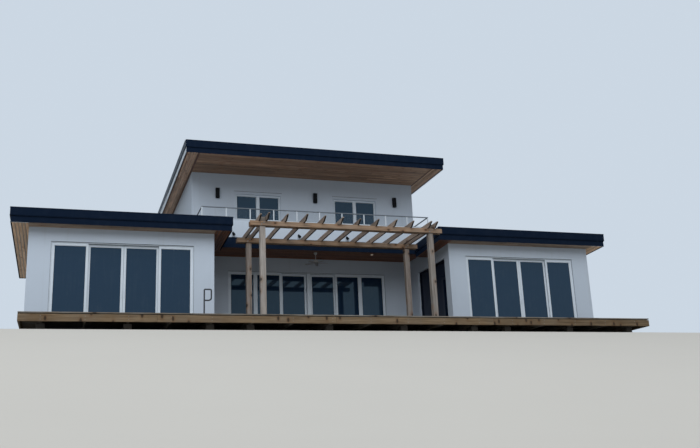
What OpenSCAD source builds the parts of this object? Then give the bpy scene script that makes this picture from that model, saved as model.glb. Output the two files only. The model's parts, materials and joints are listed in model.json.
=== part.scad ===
// Beach house with two single-storey wings, a recessed porch with a balcony
// over it, a set-back upper storey and a full-width timber deck in front.
// Front faces -Y, right is +X, up is +Z. Millimetres, real size.
// The origin is the centre of the footprint, at ground level.

/* [Overall] */
// Distance from the deck front to the outermost roof edge behind
overall_depth = 13580; // [12000:10:16000]
// Thickness of the rendered masonry walls
wall = 220; // [150:10:300]
// Level of the deck and of the ground floor
floor_level = 440; // [250:10:700]
// Half the distance between the outer faces of the two wings
half_width = 8735; // [7500:5:10000]
// Outer face of the inner wing walls, from the middle
recess_half = 3700; // [3000:10:4500]

/* [Wings] */
// Front wall of the wings, behind the deck front
wing_front = 2740; // [2000:10:4000]
// Rear face of the wings, behind the deck front
wing_rear = 7750; // [7000:10:11000]
// Underside of the wing eaves at the front edge
wing_eave = 3250; // [2800:10:3800]
// Height of both fascia boards of the wings together
wing_fascia_height = 415; // [300:5:600]
// Eave overhang of the wings
wing_overhang = 480; // [200:10:800]
// Eave overhang of the wings at the front
wing_overhang_front = 420; // [200:10:800]
// Fall of the wing roofs towards the rear, in each metre
wing_fall = 50; // [0:5:70]

/* [Centre] */
// Front wall of the centre, behind the deck front
centre_front = 5930; // [5000:10:7000]
// Rear face of the centre, behind the deck front
centre_rear = 13110; // [11000:10:14000]
// Front face of the balcony, behind the deck front
balcony_front = 4360; // [3800:10:5200]
// Level of the upper floor and of the balcony
upper_level = 3600; // [3300:10:4000]
// Underside of the porch ceiling boards
porch_ceiling_level = 3390; // [3000:10:3500]
// Thickness of the ceiling and eave lining boards
lining = 18; // [10:1:30]

/* [Balcony] */
// Height of the solid balustrade above the balcony floor
parapet_height = 600; // [300:10:900]
// Thickness of the solid balustrade
parapet_thick = 120; // [80:10:200]
// Top of the metal hand rail above the balcony floor
rail_height = 985; // [900:5:1200]
// Square size of the rail posts
rail_post = 35; // [25:5:60]
// Number of bays between rail posts along the front
rail_bays = 10; // [6:1:14]
// Depth of the dark fascia under the balcony
balcony_fascia_height = 335; // [200:5:450]

/* [Upper storey] */
// Underside of the upper eaves
upper_eave = 6200; // [5600:10:6600]
// Height of both upper fascia boards together
upper_fascia_height = 410; // [300:10:600]
// Eave overhang at the sides and behind
upper_overhang = 460; // [200:10:800]
// Front edge of the upper roof, behind the deck front
upper_roof_front = 4030; // [3500:10:5500]
// Inner edge of each upper window opening, from the middle
window_inner = 950; // [600:10:1500]
// Outer edge of each upper window opening, from the middle
window_outer = 2490; // [2000:10:3200]
// Shift of both upper windows to the right
window_shift = 27; // [0:1:100]
// Sill of the upper window openings
window_sill = 4620; // [4300:10:5000]
// Head of the upper window openings
window_head = 5530; // [5200:10:5900]

/* [Roofs] */
// Thickness of a fascia board
fascia_board = 25; // [15:1:40]
// How far the top fascia board stands in front of the lower one
fascia_step = 25; // [10:1:40]
// Share of the fascia height taken by the top board
fascia_share = 0.58; // [0.4:0.01:0.7]
// Thickness of the roof panels at their thick edge
roof_panel = 260; // [150:10:350]
// Fall of the upper roof surface from front to rear
roof_fall = 90; // [0:10:200]

/* [Doors] */
// Outer edge of a wing door opening, from the middle
door_outer = 8145; // [7500:5:8500]
// Inner edge of a wing door opening, from the middle
door_inner = 4280; // [4000:5:5000]
// Half width of the centre door opening
centre_door_half = 2720; // [2000:10:3200]
// Head of the wing door openings
door_head = 2860; // [2300:10:3000]
// Head of the centre door opening
centre_door_head = 2890; // [2300:10:3100]
// Width of the post between the two centre door sets
centre_post = 120; // [60:5:200]
// Face width of the fixed door frames
frame_face = 30; // [20:1:60]
// Depth of the fixed door frames
frame_depth = 150; // [100:5:200]
// Set-back of the door frames from the wall face
frame_setback = 30; // [0:5:60]
// Width of the leaf stiles
stile = 55; // [40:1:90]
// Height of the leaf top rails
top_rail = 65; // [40:1:90]
// Height of the leaf bottom rails
bottom_rail = 95; // [60:1:150]
// Thickness of a door leaf
leaf_thick = 40; // [30:1:60]
// Thickness of the glass
glass = 12; // [6:1:24]
// Front edge of a side door opening, behind the deck front
side_door_front = 3100; // [3000:10:3600]
// Rear edge of a side door opening, behind the deck front
side_door_rear = 5290; // [4500:10:5700]
// Head of the side door openings
side_door_head = 2840; // [2300:10:3000]

/* [Deck] */
// Length of the deck
deck_length = 17500; // [15000:10:20000]
// Thickness of the deck boards
deck_board = 38; // [25:1:50]
// Height of the rim board
rim_height = 190; // [150:5:300]
// Thickness of the rim board
rim_thick = 45; // [30:1:60]
// Height of the joists
joist_height = 190; // [120:5:240]
// Number of joists in front of each wing
wing_joists = 5; // [3:1:9]
// Number of joists in the middle part
centre_joists = 7; // [4:1:11]
// Side of a square deck pier
pier = 200; // [100:10:400]

/* [Pergola] */
// Distance from the middle to the post centres
post_x = 2554; // [2000:2:3200]
// Front post centres, behind the deck front
post_front = 1537; // [800:1:2500]
// Rear post centres, behind the deck front
post_rear = 3463; // [2800:1:4200]
// Side of a square post
post_size = 155; // [90:5:200]
// Thickness of a beam plank
plank_thick = 45; // [30:1:60]
// Height of a beam plank
plank_height = 140; // [90:5:240]
// Depth that a plank is let into a post
plank_let = 22; // [5:1:40]
// Top of the planks above ground
beam_top = 3330; // [2800:10:3600]
// Distance from the middle to the plank ends
beam_half = 2915; // [2500:5:3400]
// Top of the post tongues between the rafters
post_top = 3460; // [3340:10:3600]
// Number of rafters between the posts
rafters = 10; // [4:1:16]
// Thickness of a rafter
rafter_thick = 45; // [30:1:60]
// Height of a rafter
rafter_height = 150; // [90:5:240]
// Length of the longest rafter tail, past the beam planks
rafter_tail = 430; // [250:10:600]
// Length of the slope on the underside of a rafter tail
tail_slope = 210; // [50:10:240]
// Depth of the seat cut into a rafter over each plank
rafter_seat = 12; // [0:1:30]

/* [Small parts] */
// Radius of the ceiling fan
fan_radius = 400; // [300:10:700]
// Blades of the ceiling fan
fan_blades_count = 5; // [3:1:6]
// Diameter of the hand rail tube on the deck
tube = 38; // [25:1:60]

/* [Hidden] */
$fn = 32;

white = [0.92, 0.93, 0.94];
navy = [0.06, 0.08, 0.12];
wood = [0.55, 0.42, 0.32];
grey = [0.55, 0.56, 0.58];
pane = [0.12, 0.18, 0.24, 0.6];

front_y = -overall_depth / 2;
wall_top = wing_eave + 10 + lining;
upper_half = recess_half + wall;
slab_bottom = porch_ceiling_level + lining;
joint_gap = 6;
leaf_gap = 8;
track_front = frame_setback + 15;
track_rear = track_front + leaf_thick + 25;
wing_roof_inner = recess_half - wing_overhang;
wing_roof_outer = half_width + wing_overhang;
wing_roof_front = wing_front - wing_overhang_front;
wing_roof_rear = wing_rear + wing_overhang;
upper_roof_half = upper_half + upper_overhang;
upper_roof_rear = centre_rear + upper_overhang + 10;
wing_slope = wing_fall / 1000;
wing_drop = wing_slope * (wing_roof_rear - wing_roof_front);
leaf_bottom = floor_level + frame_face;
wing_pitch = (door_outer - door_inner - 2 * frame_face) / 4;
centre_pitch = (centre_door_half - frame_face - centre_post / 2) / 3;
wing_leaf_left = -door_outer + frame_face + wing_pitch;
centre_leaf_start = -centre_post / 2 - centre_pitch;
window_mid = (window_inner + window_outer) / 2;
rim_top = floor_level - deck_board;
rim_joint = 2;
fan_x = 30;
fan_y = 5140;
balcony_foot = upper_level - balcony_fascia_height;

// A box given by its limits: x, distance behind the deck front, height
module block(x, d, z) {
  translate([x[0], front_y + d[0], z[0]])
    cube([x[1] - x[0], d[1] - d[0], z[1] - z[0]]);
}

module both_sides() {
  children();
  mirror([1, 0, 0]) children();
}

// A plan outline (x, distance behind the deck front) raised between two heights
module plan(points, z) {
  translate([0, front_y, z[0]])
    linear_extrude(height = z[1] - z[0]) polygon(points);
}

// A side profile (distance behind the deck front, height) across x
module side_profile(points, x) {
  translate([x[0], front_y, 0])
    rotate([90, 0, 90])
      linear_extrude(height = x[1] - x[0]) polygon(points);
}

// Height at a distance of something that falls with the wing roofs
function fallen(height, d) = height - wing_slope * (d - wing_roof_front);

// A wing wall between two distances, its top under the sloping roof
module wing_wall(x, d, foot) {
  side_profile([
    [d[0], foot], [d[1], foot],
    [d[1], fallen(wall_top, d[1])], [d[0], fallen(wall_top, d[0])]
  ], x);
}

// The layer between two heights that falls with the wing roofs
module wing_layer(low, high) {
  end = wing_roof_rear + 100;
  side_profile([
    [0, fallen(low, 0)], [end, fallen(low, end)],
    [end, fallen(high, end)], [0, fallen(high, 0)]
  ], [0, 2 * half_width]);
}

// Deck
deck_half = deck_length / 2;

module deck_boards() {
  color(wood)
    plan([
      [-deck_half, 0], [deck_half, 0],
      [deck_half, wing_front], [recess_half, wing_front],
      [recess_half, centre_front], [-recess_half, centre_front],
      [-recess_half, wing_front], [-deck_half, wing_front]
    ], [rim_top, floor_level]);
}

module deck_rim() {
  z = [rim_top - rim_height, rim_top];
  color(wood) {
    block([-deck_half, deck_half], [0, rim_thick], z);
    both_sides()
      block([deck_half - rim_thick, deck_half], [rim_thick + rim_joint, wing_front], z);
  }
}

module deck_joists() {
  z = [rim_top - joist_height, rim_top];
  wing_span = deck_half - recess_half;
  color(wood) {
    both_sides()
      for (i = [1 : wing_joists])
        translate([recess_half + wing_span * (i - 0.5) / wing_joists, 0, 0])
          block([-rim_thick / 2, rim_thick / 2], [rim_thick, wing_front], z);
    for (i = [0 : centre_joists - 1])
      translate([recess_half * (2 * (i + 0.5) / centre_joists - 1), 0, 0])
        block([-rim_thick / 2, rim_thick / 2], [rim_thick, centre_front], z);
  }
}

module deck_pier(x, d) {
  translate([x, 0, 0])
    block([-pier / 2, pier / 2], [d, d + pier], [0, rim_top - joist_height]);
}

module deck_piers() {
  wing_span = deck_half - recess_half;
  color(grey) {
    both_sides()
      for (i = [1 : 2 : wing_joists])
        deck_pier(recess_half + wing_span * (i - 0.5) / wing_joists, 300);
    for (i = [0 : 2 : centre_joists - 1])
      for (d = [300, 3300])
        deck_pier(recess_half * (2 * (i + 0.5) / centre_joists - 1), d);
  }
}

// Ground floor shell
module floor_slab() {
  outer = half_width - wall;
  front = wing_front + wall;
  rear = wing_rear - wall;
  color(grey)
    plan([
      [-outer, front], [-upper_half, front],
      [-upper_half, centre_front + wall], [upper_half, centre_front + wall],
      [upper_half, front], [outer, front],
      [outer, rear], [recess_half, rear],
      [recess_half, centre_rear - wall], [-recess_half, centre_rear - wall],
      [-recess_half, rear], [-outer, rear]
    ], [floor_level - 150, floor_level]);
}

module door_plinths() {
  z = [0, floor_level];
  color(white) {
    both_sides() {
      block([door_inner, door_outer], [wing_front, wing_front + wall], z);
      block([recess_half, upper_half], [side_door_front, side_door_rear], z);
    }
    block([-centre_door_half, centre_door_half], [centre_front, centre_front + wall], z);
  }
}

module front_walls() {
  wing_d = [wing_front, wing_front + wall];
  centre_d = [centre_front, centre_front + wall];
  color(white)
    both_sides() {
      wing_wall([door_outer, half_width], wing_d, 0);
      wing_wall([recess_half, door_inner], wing_d, 0);
      block([centre_door_half, recess_half], centre_d, [0, slab_bottom]);
    }
}

module door_heads() {
  color(white) {
    both_sides()
      wing_wall([door_inner, door_outer], [wing_front, wing_front + wall], door_head);
    block([-centre_door_half, centre_door_half], [centre_front, centre_front + wall],
      [centre_door_head, slab_bottom]);
  }
}

module outer_walls() {
  color(white)
    both_sides()
      wing_wall([half_width - wall, half_width], [wing_front + wall, wing_rear - wall], 0);
}

module rear_walls() {
  color(white) {
    both_sides()
      wing_wall([upper_half, half_width], [wing_rear - wall, wing_rear], 0);
    block([-upper_half, upper_half], [centre_rear - wall, centre_rear], [0, slab_bottom]);
  }
}

module inner_walls() {
  x = [recess_half, upper_half];
  color(white)
    both_sides() {
      wing_wall(x, [wing_front + wall, side_door_front], 0);
      block(x, [side_door_rear, centre_front + wall], [0, slab_bottom]);
    }
}

module side_door_heads() {
  color(white)
    both_sides()
      side_profile([
        [side_door_front, side_door_head], [side_door_rear, side_door_head],
        [side_door_rear, slab_bottom], [balcony_front, slab_bottom],
        [balcony_front, balcony_foot], [balcony_front - fascia_board, balcony_foot],
        [balcony_front - fascia_board, fallen(wall_top, balcony_front - fascia_board)],
        [side_door_front, fallen(wall_top, side_door_front)]
      ], [recess_half, upper_half]);
}

module rear_side_walls() {
  color(white)
    both_sides()
      side_profile([
        [centre_front + wall, door_head], [wing_rear - wall, door_head],
        [wing_rear - wall, 0], [centre_rear - wall, 0],
        [centre_rear - wall, slab_bottom], [centre_front + wall, slab_bottom]
      ], [recess_half, upper_half]);
}

// Upper floor, porch and balcony
module upper_floor() {
  color(grey)
    block([-upper_half, upper_half], [balcony_front, centre_rear],
      [slab_bottom, upper_level]);
}

module porch_ceiling() {
  color(wood)
    block([-recess_half, recess_half], [balcony_front, centre_front],
      [porch_ceiling_level, slab_bottom]);
}

module balcony_fascia() {
  color(navy)
    block([-upper_half, upper_half], [balcony_front - fascia_board, balcony_front],
      [balcony_foot, upper_level]);
}

module balcony_parapet() {
  color(white)
    plan([
      [-upper_half, balcony_front], [upper_half, balcony_front],
      [upper_half, centre_front], [upper_half - parapet_thick, centre_front],
      [upper_half - parapet_thick, balcony_front + parapet_thick],
      [-upper_half + parapet_thick, balcony_front + parapet_thick],
      [-upper_half + parapet_thick, centre_front], [-upper_half, centre_front]
    ], [upper_level, upper_level + parapet_height]);
}

rail_x = upper_half - 110;
rail_d = balcony_front + parapet_thick / 2;
rail_foot = upper_level + parapet_height;
rail_top = upper_level + rail_height;

module balcony_rail() {
  bay = 2 * rail_x / rail_bays;
  half = rail_post / 2;
  color(grey)
    union() {
      for (i = [0 : rail_bays])
        translate([-rail_x + bay * i, 0, 0])
          block([-half, half], [rail_d - half, rail_d + half], [rail_foot, rail_top - 20]);
      both_sides()
        block([rail_x - half, rail_x + half], [centre_front - 60, centre_front - 25],
          [rail_foot, rail_top - 20]);
      block([-rail_x - half, rail_x + half], [rail_d - half, rail_d + half],
        [rail_top - 30, rail_top]);
      both_sides()
        block([rail_x - half, rail_x + half], [rail_d, centre_front],
          [rail_top - 30, rail_top]);
    }
}

module balcony_glass() {
  bay = 2 * rail_x / rail_bays;
  z = [rail_foot + 30, rail_top - 30];
  color(pane) {
    for (i = [0 : rail_bays - 1])
      translate([-rail_x + bay * i, 0, 0])
        block([rail_post / 2, bay - rail_post / 2], [rail_d - glass / 2, rail_d + glass / 2], z);
    both_sides()
      block([rail_x - glass / 2, rail_x + glass / 2],
        [rail_d + rail_post / 2, centre_front - 60], z);
  }
}

// Upper storey
module window_pair() {
  translate([window_shift, 0, 0]) both_sides() children();
}

module upper_front_wall() {
  top = upper_eave + 10 + lining;
  color(white)
    difference() {
      block([-upper_half, upper_half], [centre_front, centre_front + wall],
        [upper_level, top]);
      window_pair()
        block([window_inner, window_outer], [centre_front - 1, centre_front + wall + 1],
          [window_sill, window_head]);
    }
}

module upper_side_walls() {
  color(white)
    both_sides()
      block([recess_half, upper_half], [centre_front + wall, centre_rear - wall],
        [upper_level, upper_eave + 10 + lining]);
}

module upper_rear_wall() {
  color(white)
    block([-upper_half, upper_half], [centre_rear - wall, centre_rear],
      [upper_level, upper_eave + 10 + lining]);
}

module window_frame() {
  face = 50;
  d = [centre_front + 40, centre_front + 120];
  color(white)
    difference() {
      block([window_inner, window_outer], d, [window_sill, window_head]);
      block([window_inner + face, window_mid - face], [d[0] - 1, d[1] + 1],
        [window_sill + face, window_head - face]);
      block([window_mid + face, window_outer - face], [d[0] - 1, d[1] + 1],
        [window_sill + face, window_head - face]);
    }
}

module window_frames() {
  window_pair() window_frame();
}

module window_glass() {
  face = 50;
  d = [centre_front + 74, centre_front + 74 + glass];
  z = [window_sill + face, window_head - face];
  color(pane)
    window_pair() {
      block([window_inner + face, window_mid - face], d, z);
      block([window_mid + face, window_outer - face], d, z);
    }
}

// Roofs
// Plan outline of one wing roof, taken in from its edge by an inset
function wing_outline(inset) = [
  [wing_roof_inner + inset, wing_roof_front + inset],
  [wing_roof_outer - inset, wing_roof_front + inset],
  [wing_roof_outer - inset, wing_roof_rear - inset],
  [upper_half, wing_roof_rear - inset],
  [upper_half, balcony_front - fascia_board],
  [wing_roof_inner + inset, balcony_front - fascia_board]
];

function upper_outline(inset) = [
  [-upper_roof_half + inset, upper_roof_front + inset],
  [upper_roof_half - inset, upper_roof_front + inset],
  [upper_roof_half - inset, upper_roof_rear - inset],
  [-upper_roof_half + inset, upper_roof_rear - inset]
];

// A plan outline with an underside and a top that fall with the wing roofs
module wing_sheet(points, low, high) {
  intersection() {
    plan(points, [low - 2 * wing_drop, high + wing_drop]);
    wing_layer(low, high);
  }
}

// The band between two insets of the wing roof outline, open to the house
module wing_band(from, to, low, high) {
  difference() {
    wing_sheet(wing_outline(from), low, high);
    plan([
      [wing_roof_inner + to, wing_roof_front + to],
      [wing_roof_outer - to, wing_roof_front + to],
      [wing_roof_outer - to, wing_roof_rear - to],
      [upper_half - 1, wing_roof_rear - to],
      [upper_half - 1, balcony_front + 1],
      [wing_roof_inner + to, balcony_front + 1]
    ], [low - 2 * wing_drop, high + wing_drop]);
  }
}

module upper_band(from, to, z) {
  difference() {
    plan(upper_outline(from), z);
    plan(upper_outline(to), [z[0] - 1, z[1] + 1]);
  }
}

module wing_roofs() {
  inset = fascia_board + fascia_step;
  color(grey)
    both_sides()
      wing_sheet(wing_outline(inset), wall_top, wall_top + roof_panel);
}

wing_split = wing_eave + wing_fascia_height * (1 - fascia_share);
upper_split = upper_eave + upper_fascia_height * (1 - fascia_share);

module wing_fascia_top() {
  color(navy)
    both_sides()
      wing_band(0, fascia_board + fascia_step, wing_split, wing_eave + wing_fascia_height);
}

module wing_fascia_lower() {
  color(navy)
    both_sides()
      wing_band(fascia_step, fascia_board + fascia_step, wing_eave, wing_split);
}

module wing_eaves() {
  inset = fascia_board + fascia_step;
  color(wood)
    both_sides()
      difference() {
        wing_sheet(wing_outline(inset), wing_eave + 10, wall_top);
        block([recess_half, half_width], [wing_front, wing_rear], [0, wall_top + 1]);
        block([recess_half - 1, half_width], [balcony_front - fascia_board, wing_rear],
          [0, wall_top + 1]);
      }
}

module upper_roof() {
  inset = fascia_board + fascia_step;
  low = upper_eave + 10 + lining;
  half = upper_roof_half - inset;
  color(grey)
    side_profile([
      [upper_roof_front + inset, low], [upper_roof_rear - inset, low],
      [upper_roof_rear - inset, low + roof_panel - roof_fall],
      [upper_roof_front + inset, low + roof_panel]
    ], [-half, half]);
}

module upper_fascia_top() {
  color(navy)
    upper_band(0, fascia_board + fascia_step,
      [upper_split, upper_eave + upper_fascia_height]);
}

module upper_fascia_lower() {
  color(navy)
    upper_band(fascia_step, fascia_board + fascia_step, [upper_eave, upper_split]);
}

module upper_eaves() {
  inset = fascia_board + fascia_step;
  top = upper_eave + 10 + lining;
  color(wood)
    difference() {
      plan(upper_outline(inset), [upper_eave + 10, top]);
      block([-upper_half, upper_half], [centre_front, centre_rear], [upper_eave, top + 1]);
    }
}

// Sliding doors
// A leaf between two x limits under a door head, its front face at distance d
module leaf(x, d, head) {
  z = [leaf_bottom, head - frame_face];
  difference() {
    block(x, [d, d + leaf_thick], z);
    block([x[0] + stile, x[1] - stile], [d - 1, d + leaf_thick + 1],
      [z[0] + bottom_rail, z[1] - top_rail]);
  }
}

module leaf_pane(x, d, head) {
  middle = d + leaf_thick / 2;
  block([x[0] + stile, x[1] - stile], [middle - glass / 2, middle + glass / 2],
    [leaf_bottom + bottom_rail, head - frame_face - top_rail]);
}

// A leaf that slides stands clear of the frame above and below
module sliding_leaf(x, d, head) {
  top = head - frame_face;
  z = [leaf_bottom + leaf_gap, top - leaf_gap];
  color(white)
    difference() {
      block(x, [d, d + leaf_thick], z);
      block([x[0] + stile, x[1] - stile], [d - 1, d + leaf_thick + 1],
        [leaf_bottom + bottom_rail, top - top_rail]);
    }
}

module outer_frame(x, d, head) {
  difference() {
    block(x, [d + frame_setback, d + frame_setback + frame_depth], [floor_level, head]);
    block([x[0] + frame_face, x[1] - frame_face], [d, d + wall],
      [floor_level + frame_face, head - frame_face]);
  }
}

function wing_leaf_x(i) = [
  -door_outer + frame_face + wing_pitch * i,
  -door_outer + frame_face + wing_pitch * (i + 1)
];

function centre_leaf_x(i) = [
  -centre_door_half + frame_face + centre_pitch * i,
  -centre_door_half + frame_face + centre_pitch * (i + 1)
];

module wing_frame() {
  outer_frame([-door_outer, -door_inner], wing_front, door_head);
  for (i = [0, 3]) leaf(wing_leaf_x(i), wing_front + track_front, door_head);
}

module centre_frame() {
  outer_frame([-centre_door_half, centre_door_half], centre_front, centre_door_head);
  block([-centre_post / 2, centre_post / 2],
    [centre_front + frame_setback, centre_front + frame_setback + frame_depth],
    [floor_level, centre_door_head]);
  both_sides()
    for (i = [0, 1]) leaf(centre_leaf_x(i), centre_front + track_front, centre_door_head);
}

module door_frames() {
  color(white) {
    both_sides() wing_frame();
    centre_frame();
  }
}

module fixed_glass() {
  color(pane)
    both_sides() {
      for (i = [0, 3]) leaf_pane(wing_leaf_x(i), wing_front + track_front, door_head);
      for (i = [0, 1])
        leaf_pane(centre_leaf_x(i), centre_front + track_front, centre_door_head);
    }
}

// Limits of the sliding leaves of the left wing and of the centre
left_outer_x = [wing_leaf_x(1)[0] - 10, wing_leaf_x(1)[1] - joint_gap / 2];
left_inner_x = [wing_leaf_x(2)[0] + joint_gap / 2, wing_leaf_x(2)[1] + 10];
centre_left_x = [centre_leaf_x(2)[0] - 10, centre_leaf_x(2)[1] - leaf_gap];

module left_leaf_outer() {
  sliding_leaf(left_outer_x, wing_front + track_rear, door_head);
}

module left_leaf_outer_glass() {
  color(pane) leaf_pane(left_outer_x, wing_front + track_rear, door_head);
}

module left_leaf_inner() {
  sliding_leaf(left_inner_x, wing_front + track_rear, door_head);
}

module left_leaf_inner_glass() {
  color(pane) leaf_pane(left_inner_x, wing_front + track_rear, door_head);
}

module centre_leaf_left() {
  sliding_leaf(centre_left_x, centre_front + track_rear, centre_door_head);
}

module centre_leaf_left_glass() {
  color(pane) leaf_pane(centre_left_x, centre_front + track_rear, centre_door_head);
}

module centre_leaf_right() {
  mirror([1, 0, 0]) centre_leaf_left();
}

module centre_leaf_right_glass() {
  mirror([1, 0, 0]) centre_leaf_left_glass();
}

module right_leaf_inner() {
  mirror([1, 0, 0]) left_leaf_inner();
}

module right_leaf_inner_glass() {
  mirror([1, 0, 0]) left_leaf_inner_glass();
}

module right_leaf_outer() {
  mirror([1, 0, 0]) left_leaf_outer();
}

module right_leaf_outer_glass() {
  mirror([1, 0, 0]) left_leaf_outer_glass();
}

// Two-leaf glazed doors in the walls that face the porch
side_door_middle = (side_door_front + side_door_rear) / 2;
side_door_x = [recess_half + 60, recess_half + 130];

module side_doors() {
  face = 60;
  z = [floor_level + face, side_door_head - face];
  color(navy)
    both_sides()
      difference() {
        block(side_door_x, [side_door_front, side_door_rear], [floor_level, side_door_head]);
        block([side_door_x[0] - 1, side_door_x[1] + 1],
          [side_door_front + face, side_door_middle - face / 2], z);
        block([side_door_x[0] - 1, side_door_x[1] + 1],
          [side_door_middle + face / 2, side_door_rear - face], z);
      }
}

module side_door_glass() {
  face = 60;
  x = [side_door_x[0] + 29, side_door_x[0] + 29 + glass];
  z = [floor_level + face, side_door_head - face];
  color(pane)
    both_sides() {
      block(x, [side_door_front + face, side_door_middle - face / 2], z);
      block(x, [side_door_middle + face / 2, side_door_rear - face], z);
    }
}

// Ceiling fan
module fan_mount() {
  color(navy)
    translate([fan_x, front_y + fan_y, 0])
      rotate_extrude()
        polygon([
          [0, porch_ceiling_level], [55, porch_ceiling_level],
          [50, porch_ceiling_level - 60], [14, porch_ceiling_level - 80],
          [14, porch_ceiling_level - 240], [60, porch_ceiling_level - 255],
          [80, porch_ceiling_level - 275], [80, porch_ceiling_level - 320],
          [0, porch_ceiling_level - 320]
        ]);
}

module fan_rotor() {
  hub_top = porch_ceiling_level - 326;
  color(navy)
    translate([fan_x, front_y + fan_y, hub_top - 50])
      union() {
        cylinder(r = 75, h = 50);
        for (i = [0 : fan_blades_count - 1])
          rotate([0, 0, 360 / fan_blades_count * i])
            translate([50, 0, 25])
              rotate([10, 0, 0])
                translate([0, -45, -4])
                  cube([fan_radius - 50, 90, 8]);
      }
}

// Pergola
beam_low = beam_top - plank_height;
post_half = post_size / 2;

// Front face of the plank on one side of a post row
function plank_face(post, side) =
  side < 0 ? post - post_half + plank_let - plank_thick : post + post_half - plank_let;

// Takes away the room of the planks of one post row, up to a height
module plank_room(post, half, z) {
  for (side = [-1, 1])
    block([-half, half],
      [plank_face(post, side), plank_face(post, side) + plank_thick], z);
}

// A square post, notched for its two planks, with a tongue between the rafters
module pergola_post(d) {
  difference() {
    block([-post_half, post_half], [d - post_half, d + post_half], [floor_level, post_top]);
    plank_room(d, post_half + 1, [beam_low, post_top + 1]);
  }
}

module pergola_posts() {
  color(wood)
    both_sides()
      translate([post_x, 0, 0]) {
        pergola_post(post_front);
        pergola_post(post_rear);
      }
}

module pergola_beams() {
  color(wood)
    for (post = [post_front, post_rear])
      plank_room(post, beam_half, [beam_low, beam_top]);
}

rafter_low = beam_top - rafter_seat;
rafter_end = post_rear + post_half - plank_let + plank_thick + rafter_tail;

// How much shorter than the longest each front tail was sawn, left to right
tail_cuts = [190, 30, 90, 0, 70, 140, 210, 160, 120, 160, 100, 120];

// A rafter seated on the four planks, its front tail cut back by an amount
module rafter(cut) {
  front = plank_face(post_front, -1) - rafter_tail + cut;
  top = rafter_low + rafter_height;
  difference() {
    side_profile([
      [front, top], [front, top - 25],
      [front + tail_slope, rafter_low], [rafter_end - tail_slope, rafter_low],
      [rafter_end, top - 25], [rafter_end, top]
    ], [-rafter_thick / 2, rafter_thick / 2]);
    for (post = [post_front, post_rear])
      plank_room(post, rafter_thick, [rafter_low - 1, beam_top]);
  }
}

module pergola_rafters() {
  inside = post_x - post_half - rafter_thick / 2;
  outside = post_x + post_half + rafter_thick / 2;
  step = 2 * inside / (rafters - 1);
  color(wood) {
    translate([-outside, 0, 0]) rafter(tail_cuts[0]);
    for (i = [0 : rafters - 1])
      translate([-inside + step * i, 0, 0]) rafter(tail_cuts[(i + 1) % len(tail_cuts)]);
    translate([outside, 0, 0]) rafter(tail_cuts[len(tail_cuts) - 1]);
  }
}

// Small fixtures
// A length of tube along x, y or z, from a point
module tube_run(point, turn, length) {
  translate(point) rotate(turn) cylinder(d = tube, h = length);
}

// A quarter bend of tube in the plane of x and z about a centre
module tube_bend(centre, radius, x_side, z_side) {
  reach = radius + tube;
  translate(centre)
    intersection() {
      rotate([90, 0, 0])
        rotate_extrude() translate([radius, 0]) circle(d = tube);
      translate([x_side < 0 ? -reach : 0, -tube, z_side < 0 ? -reach : 0])
        cube([reach, 2 * tube, reach]);
    }
}

// Grab rail bent to a loop at its top
module deck_handrail() {
  height = 680;
  width = 181;
  drop = 285;
  small = 32;
  large = 75;
  color(navy)
    translate([-4350, front_y + 350, floor_level])
      union() {
        cylinder(d = 90, h = 10);
        tube_run([0, 0, 0], [0, 0, 0], height - small);
        tube_bend([small, 0, height - small], small, -1, 1);
        tube_run([small, 0, height], [0, 90, 0], width - 2 * small);
        tube_bend([width - small, 0, height - small], small, 1, 1);
        tube_run([width, 0, height - drop + large], [0, 0, 0], drop - small - large);
        tube_bend([width - large, 0, height - drop + large], large, 1, -1);
        tube_run([0, 0, height - drop], [0, 90, 0], width - large);
      }
}

// A spotlight on an arm, aimed down
module spotlight(x) {
  translate([x, front_y + balcony_front, upper_level + 130]) {
    translate([-25, -14, -35]) cube([50, 14, 70]);
    translate([-9, -68, 26]) cube([18, 68, 16]);
    translate([-9, -68, -10]) cube([18, 16, 40]);
    translate([0, -68, -20]) rotate([20, 0, 0]) translate([0, 0, -70]) cylinder(d = 84, h = 95);
  }
}

module wall_lights() {
  color(navy) {
    for (x = [-3070, 300, 3220])
      block([x - 65, x + 65], [centre_front - 90, centre_front], [5340, 5690]);
    for (x = [-2855, -740, 870]) spotlight(x);
  }
}

module ceiling_lights() {
  color(grey)
    translate([2000, front_y + fan_y, porch_ceiling_level - 8])
      cylinder(d = 110, h = 8);
}

deck_boards();
deck_rim();
deck_joists();
deck_piers();
floor_slab();
door_plinths();
front_walls();
door_heads();
outer_walls();
rear_walls();
inner_walls();
side_door_heads();
rear_side_walls();
upper_floor();
porch_ceiling();
balcony_fascia();
balcony_parapet();
balcony_rail();
balcony_glass();
upper_front_wall();
upper_side_walls();
upper_rear_wall();
window_frames();
window_glass();
wing_roofs();
wing_fascia_top();
wing_fascia_lower();
wing_eaves();
upper_roof();
upper_fascia_top();
upper_fascia_lower();
upper_eaves();
door_frames();
fixed_glass();
side_doors();
side_door_glass();
left_leaf_outer();
left_leaf_outer_glass();
left_leaf_inner();
left_leaf_inner_glass();
centre_leaf_left();
centre_leaf_left_glass();
centre_leaf_right();
centre_leaf_right_glass();
right_leaf_inner();
right_leaf_inner_glass();
right_leaf_outer();
right_leaf_outer_glass();
fan_mount();
fan_rotor();
pergola_posts();
pergola_beams();
pergola_rafters();
deck_handrail();
wall_lights();
ceiling_lights();
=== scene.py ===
import json
import math
import random

import bpy
from mathutils import Matrix, Vector


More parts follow.
